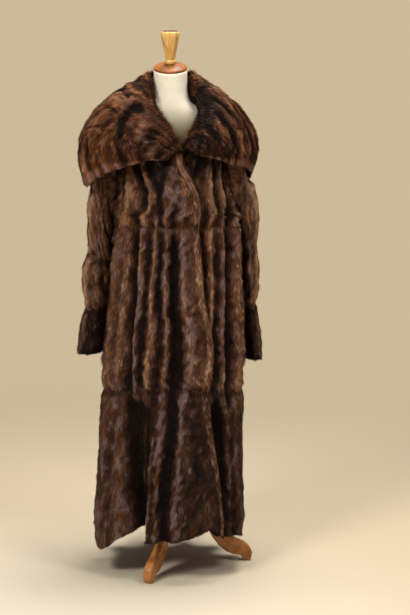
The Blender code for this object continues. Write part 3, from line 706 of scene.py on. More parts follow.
def noise(x, y, size, seed):
    """Smooth noise from -1 to 1 over a plane, with features of about the given size."""
    lattice = np.random.default_rng(seed).uniform(-1.0, 1.0, (64, 64))
    column, row = np.floor(x / size).astype(int), np.floor(y / size).astype(int)
    beside, below = ease(x / size - column), ease(y / size - row)

    def knot(right, down):
        return lattice[(column + right) % 64, (row + down) % 64]

    upper = knot(0, 0) * (1 - beside) + knot(1, 0) * beside
    lower = knot(0, 1) * (1 - beside) + knot(1, 1) * beside
    return upper * (1 - below) + lower * below


def grain(name, across, down, seed):
    """One of the cloth's named noises."""
    size, squash, own_seed = GRAINS[name]
    return noise(across, down * squash, size, seed + own_seed)


def locks(x, y, seed):
    """For places on a plane, the way to the middle of their lock of hair, in lock widths and heights."""
    spots = np.random.default_rng(seed).uniform(0.1, 0.9, (64, 64, 2))
    column, row = np.floor(x / LOCK_WIDE).astype(int), np.floor(y / LOCK_TALL).astype(int)
    beside, ahead, least = np.zeros(len(x)), np.zeros(len(x)), np.full(len(x), 9.0)
    for i in (-1, 0, 1):
        for j in (-1, 0, 1):
            spot = spots[(column + i) % 64, (row + j) % 64]
            right = column + i + spot[:, 0] - x / LOCK_WIDE
            down = row + j + spot[:, 1] - y / LOCK_TALL
            near = np.hypot(right, down) < least
            beside, ahead = np.where(near, right, beside), np.where(near, down, ahead)
            least = np.where(near, np.hypot(right, down), least)
    return beside, ahead


def plain_radius(bearing, z):
    """Reach of the coat's outer surface without folds."""
    angle = np.radians(bearing)
    left, right, front, back = (along(BODY, "z", way, z) for way in ("left", "right", "front", "back"))
    side = np.where(np.sin(angle) < 0, left, right)
    face = np.where(np.cos(angle) > 0, front, back)
    across = (np.abs(np.sin(angle)) / side) ** ROUNDNESS + (np.abs(np.cos(angle)) / face) ** ROUNDNESS
    return across ** (-1 / ROUNDNESS)


def knee_z(bearing):
    """Height of the seam between the skirt tiers."""
    return KNEE_Z + KNEE_LIFT * np.maximum(np.cos(np.radians(bearing)), 0.0) ** 2


def pinch(bearing, z):
    """How far the waist and knee seams draw the surface in."""
    return WAIST_PINCH * bump(z - WAIST_Z, PINCH_REACH) + KNEE_PINCH * bump(z - knee_z(bearing), PINCH_REACH)


def lap(bearing, z):
    """How far the lapping front stands over the other one."""
    start = along(EDGE, "z", "under", z) - LAP_BLEND - LAP_START
    return (WALL + LAP_GAP) * ease((bearing - start) / LAP_BLEND)


def armhole_spread(z):
    """Half the armhole's width in degrees at a height, 0 above and below it."""
    share = np.clip((z - ARMHOLE_Z) / ARMHOLE_HALF, -1.0, 1.0)
    return ARMHOLE_SPREAD * np.sqrt(1 - share ** 2)


def unit(vectors):
    return vectors / np.maximum(np.linalg.norm(vectors, axis=-1, keepdims=True), 1e-9)


def normals_of(points):
    """Unit normals of a grid of points, on the side that the fur is on."""
    return unit(np.cross(np.gradient(points, axis=0), np.gradient(points, axis=1)))


def arcs(points):
    """How far across and how far down a grid each of its points lies, measured along the surface."""
    distances = []
    for axis in (1, 0):
        steps = np.linalg.norm(np.diff(points, axis=axis), axis=-1)
        start = np.zeros_like(np.take(steps, [0], axis=axis))
        distances.append(np.concatenate([start, np.cumsum(steps, axis=axis)], axis=axis))
    return distances


def cell_areas(points):
    """Area of each cell of a grid of points."""
    below, beside = points[1:, :-1] - points[:-1, :-1], points[:-1, 1:] - points[:-1, :-1]
    return np.linalg.norm(np.cross(below, beside), axis=-1)


def creased(name, points):
    """How far the creases drawn for a surface sink each of its points."""
    across, down = arcs(points)
    last_row, last_column = points.shape[0] - 1, points.shape[1] - 1

    def place(across_share, down_share):
        spot = int(round(down_share * last_row)), int(round(across_share * last_column))
        return np.array([across[spot], down[spot]])

    sunk = np.zeros(points.shape[:2])
    for across1, down1, across2, down2, width, depth in zip(*CREASES.get(name, {}).values()):
        start, end = place(across1, down1), place(across2, down2)
        run = end - start
        share = ((across - start[0]) * run[0] + (down - start[1]) * run[1]) / (run @ run)
        share = np.clip(share, 0.0, 1.0)
        away = np.hypot(across - start[0] - share * run[0], down - start[1] - share * run[1])
        fade = ease(share / 0.3) * ease((1 - share) / 0.3)
        sunk += depth * fade * bump(away, width)
    return sunk


Surface = namedtuple("Surface", "name kind points normals glow grey relief loft")


def levelled(points, passes):
    """The grid of points with its folds smoothed away; its four edges stay."""
    for _ in range(passes):
        middle = (points[:-2, 1:-1] + points[2:, 1:-1] + points[1:-1, :-2] + points[1:-1, 2:]) / 4
        points = points.copy()
        points[1:-1, 1:-1] = middle
    return points


def lumps(across, down, seed):
    """Height of the small ridges and hollows of the fur, upright and broken up, about from -1 to 1."""
    bent = across + 0.004 * grain("bends", across, down, seed)
    return (0.45 * grain("ridges", bent, down, seed) + 0.60 * grain("knolls", bent, down, seed)
            + 0.30 * grain("bumps", across, down, seed))


def finished_surface(name, kind, points, glow, grey, seed, loft=0.0):
    """Adds creases and small lumps to a grid of points, and works out its normals and its relief.

    The loft is how much further than elsewhere the hairs stand off, where they meet a neighbour's.
    """
    height = FURS[kind].lump * (lumps(*arcs(points), seed) - LUMP_SINK) - creased(name, points)
    points = points + normals_of(points) * height[..., None]
    normals = normals_of(points)
    fold, crest = (np.sum((points - levelled(points, passes)) * normals, axis=-1)
                   for passes in (FOLD_PASSES, CREST_PASSES))
    relief = np.clip(fold / FOLD_HEIGHT, -1.6, 0.5) + np.clip(crest / CREST_HEIGHT, -1.1, 1.4)
    return Surface(name, kind, points, normals, glow, grey, relief, np.broadcast_to(loft, relief.shape))


# ---- coat surfaces ----

Panel = namedtuple("Panel", "name tier start end")
FACES = (("right_front", "side", "over"), ("left_front", "under", "side"), ("back", "side", "side"))
PANELS = [Panel(f"{part}_{face}", part.split("_")[0], start, end)
          for part in ("bodice", "upper_skirt", "lower_skirt") for face, start, end in FACES]


def tier_heights(tier, bearing, share):
    """Height of a point that lies a share of the way down a panel."""
    if tier == "bodice":
        top, bottom = NECK_Z, WAIST_Z + SEAM / 2
    elif tier == "upper":
        top, bottom = WAIST_Z - SEAM / 2, knee_z(bearing) + SEAM / 2
    else:
        top, bottom = knee_z(bearing) - SEAM / 2, along(HEM, "bearing", "z", bearing)
    return top + (bottom - top) * share


def fold_strength(tier, share):
    """How strong a panel's own folds are, a share of the way down it."""
    if tier == "bodice":
        return ease((share - 0.15) / 0.25) * ease((1 - share) / 0.25)
    if tier == "lower":
        return ease(share / 0.16)
    opening = WAIST_HOLD + (1 - WAIST_HOLD) * ease(share / 0.16)
    closing = KNEE_HOLD + (1 - KNEE_HOLD) * ease((1 - share) / 0.10)
    return opening * closing


def seam_strength(tier, share):
    """How strong the upper skirt's folds still are in the panels that are sewn to it."""
    if tier == "bodice":
        return WAIST_HOLD * ease((share - 0.75) / 0.25)
    if tier == "lower":
        return KNEE_HOLD * (1 - ease(share / 0.16))
    return 0.0 * share


def panel_limits(panel, z):
    """Bearings where a panel starts and ends at a height."""
    spread = armhole_spread(z) if panel.tier == "bodice" else 0.0
    low, high = (90.0, 270.0) if panel.name.endswith("back") else (-90.0, 90.0)
    start = low + spread if panel.start == "side" else float(along(EDGE, "z", panel.start, z))
    end = high - spread if panel.end == "side" else float(along(EDGE, "z", panel.end, z))
    return start, end


def fold_marks(panel, z, share):
    """Bearings of a panel's folds at a height, how far each stands out, and the bearing of its free edge."""
    folds = FOLDS[panel.name]
    marks = folds["top"] + (folds["bottom"] - folds["top"]) * share
    rises = folds["rise_top"] + (folds["rise_bottom"] - folds["rise_top"]) * share
    start, end = panel_limits(panel, z)
    edge = end
    if panel.end == "over":
        band_angle = math.degrees(BAND_WIDTH / float(plain_radius(edge, z)))
        end = edge - min(band_angle, (edge - start) * NARROW_SHARE)
    power = 1 if panel.tier == "bodice" else EDGE_POWER
    t = (marks - marks[0]) / (marks[-1] - marks[0])
    marks = marks + (start - marks[0]) * (1 - t) ** power + (end - marks[-1]) * t ** power
    return marks, rises, edge


def read_folds(values, stops):
    """Values of a row of folds at stops that lie between them, easing from one to the next."""
    i = np.clip(np.floor(stops).astype(int), 0, len(values) - 2)
    return values[i] + (values[i + 1] - values[i]) * ease(stops - i)


def seam_rise(panel, bearings):
    """How far the upper skirt's folds stand out where a panel above or below is sewn to it."""
    upper = PANELS[len(FACES) + PANELS.index(panel) % len(FACES)]
    share = 0.0 if panel.tier == "bodice" else 1.0
    marks, rises, _ = fold_marks(upper, float(tier_heights("upper", 0.0, share)), share)
    return read_folds(rises, np.interp(bearings, marks, np.arange(len(marks))))


def wavy(bearings, z):
    """Folds wander: how far, in degrees, and how much stronger or weaker they are at a place."""
    across, down = bearings / FOLD_WANDER_WIDE, z / FOLD_WANDER_TALL
    shift = FOLD_WANDER * noise(across, down + 50, 1.0, WANDER_SEED)
    swell = 1 + FOLD_SWELL * noise(across, down * 1.6 + 90, 1.0, SWELL_SEED)
    return shift, swell


def panel_row(panel, share, stops):
    """Bearings, radii and heights of one row of a panel's points."""
    z = float(tier_heights(panel.tier, 0.0, share))
    marks, rises, edge = fold_marks(panel, z, share)
    if panel.end == "over":
        marks, rises = np.append(marks, edge), np.append(rises, rises[-1])
    bearings = np.interp(stops, np.arange(len(marks)), marks)
    rise = read_folds(rises, stops) * fold_strength(panel.tier, share)
    rise = rise + seam_rise(panel, bearings) * seam_strength(panel.tier, share)
    shift, swell = wavy(bearings, z)
    inside = ease((bearings - marks[0]) / FOLD_STEADY) * ease((marks[-1] - bearings) / FOLD_STEADY)
    inside = inside * (1 - 0.8 * bump(z - WAIST_Z, WAIST_STEADY))
    bearings = bearings + shift * inside
    levels = np.broadcast_to(tier_heights(panel.tier, bearings, share), bearings.shape)
    radii = plain_radius(bearings, levels) - pinch(bearings, levels) + rise * (1 + (swell - 1) * inside)
    if panel.end == "over":
        radii = radii + lap(bearings, levels)
    return bearings, radii, levels


def panel_glow(panel, glow, points, stops, loft):
    """A panel's painted light and shade: its folds', and more along its edges, seams and sleeve and under
    the collar.
    """
    z = points[..., 2]
    glow = glow - SIDE_SHADE * loft
    if panel.tier != "lower":
        glow = glow + WAIST_GLOW * bump(z - WAIST_Z, 0.020)
    if panel.tier == "upper":
        glow = glow - TIER_END_SHADE * ease(1 - (z - z[-1:]) / 0.07)
    if panel.tier == "lower":
        glow = glow + TIER_TOP_GLOW * ease(1 - (z[:1] - z) / 0.09)
    if panel.end == "over":
        glow = glow + EDGE_GLOW[panel.tier] * ease((stops - stops[-1] + 1.0) / 0.5)
    if panel.tier == "bodice":
        glow = glow - COLLAR_SHADE * ease((z - COLLAR_SHADE_Z) / 0.035)
    return glow


def panel_surface(panel, seed):
    """One panel of the body, from its top seam to its lower one."""
    folds, over = FOLDS[panel.name], panel.end == "over"
    spans = len(folds["top"]) - 1 + over
    stops = np.linspace(0, spans, spans * FOLD_STEPS + 1)
    height = abs(float(tier_heights(panel.tier, 0.0, 1.0) - tier_heights(panel.tier, 0.0, 0.0)))
    shares = np.linspace(0, 1, int(height / ROW_STEP) + 1)
    points = np.array([around(*panel_row(panel, share, stops)) for share in shares])
    tints = []
    for column in ("glow", "grey"):
        values = np.append(folds[column], folds[column][-1]) if over else folds[column]
        tints.append(np.broadcast_to(read_folds(values, stops), points.shape[:2]))
    bearings = np.degrees(np.arctan2(np.abs(points[..., 0]), -points[..., 1]))
    loft = bump(bearings - SLEEVE_SIDE, SLEEVE_SIDE_REACH) * (points[..., 2] > SLEEVE_LOW)
    outward = points * np.array([1, 1, 0]) / np.linalg.norm(points[..., :2], axis=-1, keepdims=True)
    waist = WAIST_PINCH * bump(points[..., 2] - WAIST_Z, 3 * PINCH_REACH)
    points = points + outward * ((SIDE_FILL + waist) * loft)[..., None]
    glow = panel_glow(panel, tints[0], points, stops, loft)
    return finished_surface(panel.name, panel.tier, points, glow, tints[1], seed, loft)


def band_surface(seed):
    """The rolled strip over the lapping front's free edge, from the foot of the V to the hem."""
    across = np.linspace(*BAND_SHARES, BAND_COLUMNS)
    crown = BAND_THICK * np.sqrt(np.clip(1 - (2 * across - 1) ** 2, 0, 1))
    fall = np.where(across > 1, WALL * (across - 1) / (BAND_SHARES[1] - 1), 0.0)
    low = np.where(across < 0, BAND_TUCK, 0.0)
    rows = []
    for panel in PANELS[::len(FACES)]:
        spans = len(FOLDS[panel.name]["top"])
        stops = np.clip(spans - 1 + across, 0, spans)
        for share in np.linspace(0, 1, BAND_ROWS):
            bearings, radii, levels = panel_row(panel, share, stops)
            if levels[0] > BAND_TOP_Z or rows and abs(levels[0] - rows[-1][0][2]) < BAND_ROW_STEP:
                continue
            past = np.clip(across - 1, 0, None) * (bearings[-1] - bearings[-3])
            rows.append(around(bearings + past, radii + SEAM + crown - fall - low, levels))
    points = np.array(rows)
    # Painted highlight along the strip, painted shade low down, and a little painted silvery sheen.
    glow = np.interp(points[..., 2], BAND_GLOW["z"], BAND_GLOW["glow"])
    return finished_surface("front_band", "band", points, glow, 0.10 + 0.05 * glow, seed)


def sleeve_oval(rows, at, turns):
    """Points of a sleeve round its ring number `at`, which may lie between two rings."""
    inner_x, inner_z, outer_x, outer_z, y, depth = by_row(rows, max(at, 0.0))
    inner, outer = np.array([inner_x, y, inner_z]), np.array([outer_x, y, outer_z])
    middle, half = (inner + outer) / 2, (outer - inner) / 2
    ring = middle + np.sin(turns)[:, None] * half + np.cos(turns)[:, None] * np.array([0, -depth, 0])
    if at >= 0:
        return ring
    side = math.copysign(1.0, outer_x)
    bearing = side * (90.0 - ARMHOLE_SPREAD * np.cos(turns))
    z = ARMHOLE_Z + ARMHOLE_HALF * np.sin(turns)
    hole = around(bearing, plain_radius(bearing, z) + 0.002, z)
    return ring + (hole - ring) * -at


def sleeve_surface(name, band, seed):
    """One band of a sleeve, its folds running on from the band above."""
    first, last = SLEEVE_BANDS[band]
    turn = np.linspace(0, 360, SLEEVE_STEPS + 1)
    steps = np.linspace(first, last, (last - first) * 6 + 1)
    points = np.array([sleeve_oval(SLEEVES[name], at, np.radians(turn)) for at in steps])
    outward = unit(points - points[:, :-1].mean(axis=1, keepdims=True))
    rise, glow, grey = (along(SLEEVE_FOLDS, "turn", column, turn) for column in ("rise", "glow", "grey"))
    drawn_in = sum(RING_PINCH * bump(steps - ring, RING_REACH) for ring in RING_SEAMS)
    rise = rise * ease((steps[:, None] - 0.5) / 1.5)
    points = points + outward * (rise - drawn_in[:, None])[..., None]
    loft = ease(-1.6 * np.sin(np.radians(turn)))
    # Painted shade on the sleeve's inner side, where it meets the body.
    glow = glow * BAND_SHADE[band] - SIDE_SHADE * loft
    glow, grey, loft = (np.broadcast_to(row, points.shape[:2]) for row in (glow, grey, loft))
    if name == "sleeve_right":
        points, glow, grey, loft = (grid[:, ::-1] for grid in (points, glow, grey, loft))
    kind = "cuff" if band == "cuff" else "sleeve"
    return finished_surface(f"{name}_{band}", kind, points, glow, grey, seed, loft)


def rolled_rim(points, normal):
    """Rows that lead round the collar's thick rim at the neckline, from its under side to the first row."""
    ahead = unit(points[1] - points[0])
    centre = points[0] - normal * COLLAR_WALL / 2
    return np.array([centre + (normal * math.cos(turn) - ahead * math.sin(turn)) * COLLAR_WALL / 2
                     for turn in np.radians(ROLL_TURNS)])


def collar_underside(rows, share):
    """The collar's under side, a curve at each column from the neckline over the shoulder to the edge."""
    bearing, z, *reach = by_row(rows, np.linspace(0, len(rows["z"]) - 1.0, COLLAR_STEPS))
    ahead = np.maximum(np.cos(np.radians(bearing)), 0.0)
    radius = plain_radius(bearing, np.minimum(z, NECK_Z)) + SEAM + COLLAR_EASE * np.sqrt(ahead)
    over = (bearing < LAPPED_TO) & (bearing > -90.0)
    start = around(bearing, radius + np.where(over, lap(bearing, z), 0.0), z)
    middle, outer = np.stack(reach[:3], axis=-1), np.stack(reach[3:], axis=-1)
    rise = start + (middle - start) * COLLAR_LEAN
    t = share[:, None, None]
    return (start * (1 - t) ** 3 + rise * 3 * t * (1 - t) ** 2
            + middle * 3 * t ** 2 * (1 - t) + outer * t ** 3)


def collar_surface(name, seed):
    """One half of the collar; its outer side, from the neckline to the free edge."""
    share = np.linspace(0.02, 1, COLLAR_ROWS)
    under = collar_underside(COLLARS[name], share)
    if name == "collar_right":
        under = under[:, ::-1]
    normals = normals_of(under)
    wall = COLLAR_WALL * (1 - 0.5 * share ** 2)
    points = under + normals * wall[:, None, None]
    points = np.concatenate([rolled_rim(points, normals[0]), points])
    down = np.concatenate([np.zeros(len(ROLL_TURNS)), share])[:, None]
    across = np.linspace(0, 1, COLLAR_STEPS)[None, :]
    glow = np.full(points.shape[:2], COLLAR_BASE_GLOW)
    grey = np.full(points.shape[:2], COLLAR_BASE_SHEEN)
    # Painted highlights, painted shade and painted silvery sheen at the listed places.
    for place_x, place_y, reach_x, reach_y, painted_light, sheen in zip(*COLLAR_GLOW[name].values()):
        near = bump(across - place_x, reach_x) * bump(down - place_y, reach_y)
        glow, grey = glow + painted_light * near, grey + sheen * near
    # Painted highlight and painted silvery sheen along the collar's free edge.
    fringe = ease((down - FRINGE_START) / FRINGE_REACH)
    glow, grey = glow + FRINGE_GLOW * fringe, grey + FRINGE_SHEEN * fringe
    return finished_surface(name, "collar", points, glow, grey, seed)


# ---- meshes ----

def mesh_from(name, vertices, faces, uv=None, tint=None, shading=None, dull=None):
    """A mesh from arrays: places, uv, tint, normals and dullness of its vertices, in a grid or a row."""
    mesh = bpy.data.meshes.new(name)
    mesh.vertices.add(vertices.size // 3)
    mesh.vertices.foreach_set("co", np.ascontiguousarray(vertices, dtype=np.float32).ravel())
    mesh.loops.add(faces.size)
    mesh.loops.foreach_set("vertex_index", np.ascontiguousarray(faces, dtype=np.int32).ravel())
    mesh.polygons.add(len(faces))
    mesh.polygons.foreach_set("loop_start", np.arange(0, faces.size, faces.shape[1], dtype=np.int32))
    if uv is not None:
        layer = mesh.uv_layers.new(name="OFBake")
        layer.uv.foreach_set("vector", uv.reshape(-1, 2)[faces.ravel()].astype(np.float32).ravel())
    if tint is not None:
        colours = mesh.color_attributes.new("tint", "FLOAT_COLOR", "POINT")
        rgba = np.concatenate([tint, np.ones_like(tint[..., :1])], axis=-1)
        colours.data.foreach_set("color", rgba.astype(np.float32).ravel())
    mesh.update(calc_edges=True)
    mesh.polygons.foreach_set("use_smooth", np.ones(len(mesh.polygons), dtype=bool))
    for label, kind, field, values in (("custom_normal", "FLOAT_VECTOR", "vector", shading),
                                       ("dull", "FLOAT", "value", dull)):
        if values is not None:
            attribute = mesh.attributes.new(label, kind, "POINT")
            attribute.data.foreach_set(field, values.astype(np.float32).ravel())
    return mesh


def add_object(name, data):
    """A new object in the scene."""
    added = bpy.data.objects.new(name, data)
    bpy.context.scene.collection.objects.link(added)
    return added


def add_piece(name, mesh, material, nodes=()):
    """A shown piece that rides on the root body and may stand for CAD nodes."""
    mesh.materials.append(material)
    piece = add_object(name, mesh)
    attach(piece, "root")
    if nodes:
        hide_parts(*nodes)
    return piece


def fur_tint(kind, glow, grey, relief, across, down, seed):
    """Colour of the fur at places on a surface: painted shade black in hollows, then brown to painted gold
    highlights, some painted silvery sheen.
    """
    fur = FURS[kind]
    patch, fleck, glint, spark, broad, sheen = (
        grain(name, across, down, seed) for name in ("patch", "fleck", "glint", "spark", "broad", "sheen"))
    # Painted highlights: glints lie on most of what stands out, sparks only on the crests.
    glint = ease((glint - 0.30) / 0.35) * ease((relief + 0.2) / 1.0)
    spark = ease((spark - 0.35) / 0.30) * ease((relief - 0.1) / 0.8)
    # The relief paints shade into troughs and hollows and highlights onto ridges and crests; patches and
    # broad patches vary the tone at random.
    level = fur.level + GLOW_WEIGHT * glow + fur.relief * relief + fur.patch * patch + fur.broad * broad
    level = level + fur.streak * (FLECK * fleck + GLINT * glint + SPARK * spark)
    brown = np.stack([np.interp(level, FUR_COLOURS["level"], FUR_COLOURS[channel])
                      for channel in ("red", "green", "blue")], axis=-1)
    brown = brown * (COLLAR_TONE if kind == "collar" else 1.0)
    # Painted silvery sheen, a painted reflection of the lights, strongest with the glints and sparks.
    sheen = (fur.grey + grey + 0.12 * glint + 0.15 * spark) * (0.3 + 1.6 * sheen)
    sheen = sheen * ease((level - 0.2) / 0.4)
    return brown + (PAINTED_SHEEN_COLOUR - brown) * np.clip(sheen, 0.0, 0.6)[..., None]


def pelt_piece(surface, material, centre, seed):
    """The closed thin shell under the fur; it stands for the solid of the same name."""
    outer = surface.points - surface.normals * PELT_DEPTH + centre
    inner = outer - surface.normals * PELT_WALL
    rows, columns = outer.shape[:2]
    grid = np.arange(rows * columns).reshape(rows, columns)
    faces = np.stack([grid[:-1, :-1], grid[1:, :-1], grid[1:, 1:], grid[:-1, 1:]], axis=-1).reshape(-1, 4)
    behind = faces[:, ::-1] + rows * columns
    rim = np.concatenate([grid[0, ::-1], grid[:, 0], grid[-1, :], grid[::-1, -1]])
    ahead = np.roll(rim, -1)
    sides = np.stack([rim, rim + rows * columns, ahead + rows * columns, ahead], axis=-1)
    sides = sides[rim != ahead]
    u, v = np.meshgrid(np.linspace(0, 1, columns), np.linspace(1, 0, rows))
    front, back = (np.stack([start + 0.47 * u, v], axis=-1) for start in (0.01, 0.52))
    tint = fur_tint(surface.kind, surface.glow, surface.grey, surface.relief, *arcs(surface.points), seed)
    tint = tint * PELT_SHADE
    mesh = mesh_from(surface.name + "_pelt", np.concatenate([outer, inner]),
                     np.concatenate([faces, behind, sides]), np.concatenate([front, back]),
                     np.concatenate([tint, tint * 0 + HIDE_COLOUR]))
    return add_piece(surface.name + "_pelt", mesh, material, [surface.name])


class Places:
    """Random places spread evenly over a surface, and values of the surface's grids read there."""

    def __init__(self, points, rng):
        area = cell_areas(points)
        quota = HAIRS_PER_AREA * 1.0
        self.count = min(int(area.sum() * quota), MOST_HAIRS)
        cell = rng.choice(area.size, self.count, p=(area / area.sum()).ravel())
        self.row, self.column = np.divmod(cell, area.shape[1])
        self.below, self.beside = rng.random(self.count), rng.random(self.count)
        self.u = (self.column + self.beside) / area.shape[1]
        self.v = 1 - (self.row + self.below) / area.shape[0]

    def read(self, grid):
        below, beside = self.below, self.beside
        if grid.ndim == 3:
            below, beside = below[:, None], beside[:, None]
        row, column = self.row, self.column
        upper = grid[row, column] * (1 - beside) + grid[row, column + 1] * beside
        lower = grid[row + 1, column] * (1 - beside) + grid[row + 1, column + 1] * beside
        return upper * (1 - below) + lower * below


Chance = namedtuple("Chance", "length turn lift roll width lean tone")


def draw_chance(rng, count):
    """How each hair differs by chance."""
    return Chance(rng.uniform(0.75, 1.15, count), rng.normal(0, 0.07, count), rng.normal(0, 2.5, count),
                  rng.normal(0, 0.2, count), rng.uniform(0.7, 1.3, count), rng.normal(0, 0.10, count),
                  rng.normal(0, 0.10, count))


def hair_pose(kind, x, y, room, loft, beside, off, chance, seed):
    """Length of each hair, how far it turns from straight down, and how far it stands off the pelt."""
    fur = FURS[kind]
    length = fur.length * (1 + 0.15 * grain("length", x, y, seed)) * chance.length
    length = length * (1 + LOFT_LENGTH * loft)
    length = np.minimum(length, np.maximum(room, HAIR_SHORTEST))
    turn = (np.arctan2(0.75 * beside * LOCK_WIDE, length) + np.radians(fur.sway) * grain("sway", x, y, seed)
            + chance.turn)
    lift = fur.lift * (1 + 0.4 * grain("lift", x, y, seed)) + LOFT_LIFT * loft
    lift = np.clip(np.radians(lift + chance.lift) * (1.15 - 0.5 * off), 0.04, 0.9)
    return length, turn, lift


def hair_colours(surface, read, x, y, off, chance, seed):
    """Colour at each hair's three corners, and its roughness."""
    relief = read(surface.relief)
    tint = fur_tint(surface.kind, read(surface.glow), read(surface.grey), relief, x, y, seed)
    # Painted shade between locks: each hair is lighter near the middle of its lock and darker towards its
    # edge, with a random change on top.
    tint = tint * np.clip((1.15 - 0.45 * off ** 2) * (1 + chance.tone), 0.3, 2.0)[:, None]
    shine = ease((relief + 0.7) / 1.6) * (0.6 + 0.4 * grain("shine", x, y, seed))
    glossiest = FURS[surface.kind].dull
    dull = glossiest + (1 - glossiest) * (1 - shine) ** 1.5
    return np.clip(tint[:, None, :] * HAIR_TONE[None, :, None], 0.0, 1.0), np.repeat(dull, 3)


def hair_uv(places, length, turn, half, width, height):
    """Where each hair's three corners lie on its surface, as shares of its width and height."""
    reach = np.array([0, 0, 1.0]) * length[:, None]
    spread = np.array([-1, 1, 0]) * half + reach * np.sin(turn)[:, None]
    return np.stack([places.u[:, None] + spread / width,
                     places.v[:, None] - reach * np.cos(turn)[:, None] / height], axis=-1).clip(0, 1)


def fur_piece(surface, material, centre, seed):
    """One joined mesh of tapered hairs that leave the pelt and lie down the garment in locks."""
    rng = np.random.default_rng(seed)
    points = surface.points
    across, down = arcs(points)
    places = Places(points, rng)
    read, chance = places.read, draw_chance(rng, places.count)
    x, y = read(across), read(down)
    beside, ahead = locks(x + 0.004 * grain("stray", x, y, seed), y, seed + LOCK_SEED)
    off = np.hypot(beside, ahead)
    passing = SEAM_REACH if any(mark in surface.name for mark in SEWN) else EDGE_REACH
    room = read(down.max(axis=0, keepdims=True) - down) + passing
    length, turn, lift = hair_pose(surface.kind, x, y, room, read(surface.loft), beside, off, chance, seed)

    normal = unit(read(surface.normals))
    way = read(unit(np.gradient(points, axis=0)))
    way = unit(way - normal * np.sum(way * normal, axis=1, keepdims=True))
    side = np.cross(normal, way)
    run = way * np.cos(turn)[:, None] + side * np.sin(turn)[:, None]
    flat = np.cross(run, normal) * np.cos(chance.roll)[:, None] + normal * np.sin(chance.roll)[:, None]
    bottom = read(points) + centre - normal * (PELT_DEPTH + HAIR_SINK)
    tip = bottom + (run * np.cos(lift)[:, None] + normal * np.sin(lift)[:, None]) * length[:, None]
    half = (HAIR_WIDTH / 2 * chance.width)[:, None]
    corners = np.stack([bottom - flat * half, bottom + flat * half, tip], axis=1)

    bulge = side * (-0.9 * beside)[:, None] - way * (0.55 * ahead)[:, None]
    lean = HAIR_LEAN[None, :] + chance.lean[:, None]
    shading = unit((normal + bulge)[:, None, :] - run[:, None, :] * lean[..., None]
                   + flat[:, None, :] * HAIR_TURN[None, :, None])
    tints, dull = hair_colours(surface, read, x, y, off, chance, seed)
    uv = hair_uv(places, length, turn, half, across[:, -1].mean(), down[-1].mean())
    faces = np.arange(3 * places.count).reshape(-1, 3)
    mesh = mesh_from(surface.name + "_fur", corners, faces, uv, tints, shading, dull)
    return add_piece(surface.name + "_fur", mesh, material)


def flat_size(surface):
    """Width and length of the flat cut, measured along the surface's widest row and longest column."""
    across, down = arcs(surface.points)
    wide, tall = float(across[:, -1].max()), float(down[-1].max())
    area = float(cell_areas(surface.points).sum())
    return round(wide, 3), round(tall, 3), round(min(area, wide * tall), 4)


# ---- materials ----

def new_material(name, **inputs):
    """A Principled material; values go straight on the shader's sockets."""
    material = bpy.data.materials.new(name)
    material.use_nodes = True
    shader = material.node_tree.nodes["Principled BSDF"]
    set_inputs(shader, inputs)
    return material, material.node_tree, shader


def set_inputs(node, values):
    """Sets a node's inputs by name; an underscore stands for a space."""
    for name, value in values.items():
        node.inputs[name.replace("_", " ")].default_value = value


def add_node(tree, kind, settings=None, **inputs):
    """A new shader node with its settings and the values of its inputs."""
    node = tree.nodes.new("ShaderNode" + kind)
    for name, value in (settings or {}).items():
        setattr(node, name, value)
    set_inputs(node, inputs)
    return node


def add_ramp(tree, dark, light, start=0.0, end=1.0):
    """A colour ramp from dark to light."""
    ramp = add_node(tree, "ValToRGB")
    for element, position, colour in zip(ramp.color_ramp.elements, (start, end), (dark, light)):
        element.position = position
        element.color = (*colour, 1.0)
    return ramp


def link(tree, *links):
    """Links nodes: each link names a node, its output, another node and its input."""
    for source, output, target, socket in links:
        tree.links.new(source.outputs[output], target.inputs[socket])


def stretched_noise(tree, scale, **inputs):
    """Noise in the object's own space, with a scale for each axis."""
    place, stretch = add_node(tree, "TexCoord"), add_node(tree, "Mapping", Scale=scale)
    texture = add_node(tree, "TexNoise", Scale=1.0, **inputs)
    link(tree, (place, "Object", stretch, "Vector"), (stretch, "Vector", texture, "Vector"))
    return texture


def add_bumps(tree, shader, source, output, strength, distance):
    """Small bumps on the shader's surface that follow a node's output."""
    lift = add_node(tree, "Bump", Strength=strength, Distance=distance)
    link(tree, (source, output, lift, "Height"), (lift, "Normal", shader, "Normal"))


def fur_material(name, level):
    """Hair takes its colour from the mesh's own tint, and its roughness from how dull it is there."""
    material, tree, shader = new_material(
        name, Specular_IOR_Level=level, Specular_Tint=(1.0, 0.82, 0.72, 1.0))
    tint, dull = (add_node(tree, "Attribute", {"attribute_name": label}) for label in ("tint", "dull"))
    link(tree, (tint, "Color", shader, "Base Color"), (dull, "Fac", shader, "Roughness"))
    return material


def pelt_material():
    """Underfur and hide between the hairs: dull, dark, with a fine upright streak."""
    material, tree, shader = new_material("pelt", Roughness=0.9, Specular_IOR_Level=0.1)
    tint = add_node(tree, "Attribute", {"attribute_name": "tint"})
    add_bumps(tree, shader, stretched_noise(tree, (420.0, 420.0, 50.0), Detail=3.0), "Fac", 0.6, 0.002)
    link(tree, (tint, "Color", shader, "Base Color"))
    return material


def wood_material(name, dark, light, scale, roughness, coat):
    """Varnished wood: long rings of grain from dark to light, under a clear coat."""
    material, tree, shader = new_material(
        name, Roughness=roughness, Specular_IOR_Level=0.3, Coat_Weight=coat, Coat_Roughness=0.25)
    rings = stretched_noise(tree, scale, Detail=6.0, Distortion=0.8)
    ramp = add_ramp(tree, dark, light, 0.36, 0.62)
    link(tree, (rings, "Fac", ramp, "Fac"), (ramp, "Color", shader, "Base Color"))
    add_bumps(tree, shader, rings, "Fac", 0.12, 0.0006)
    return material


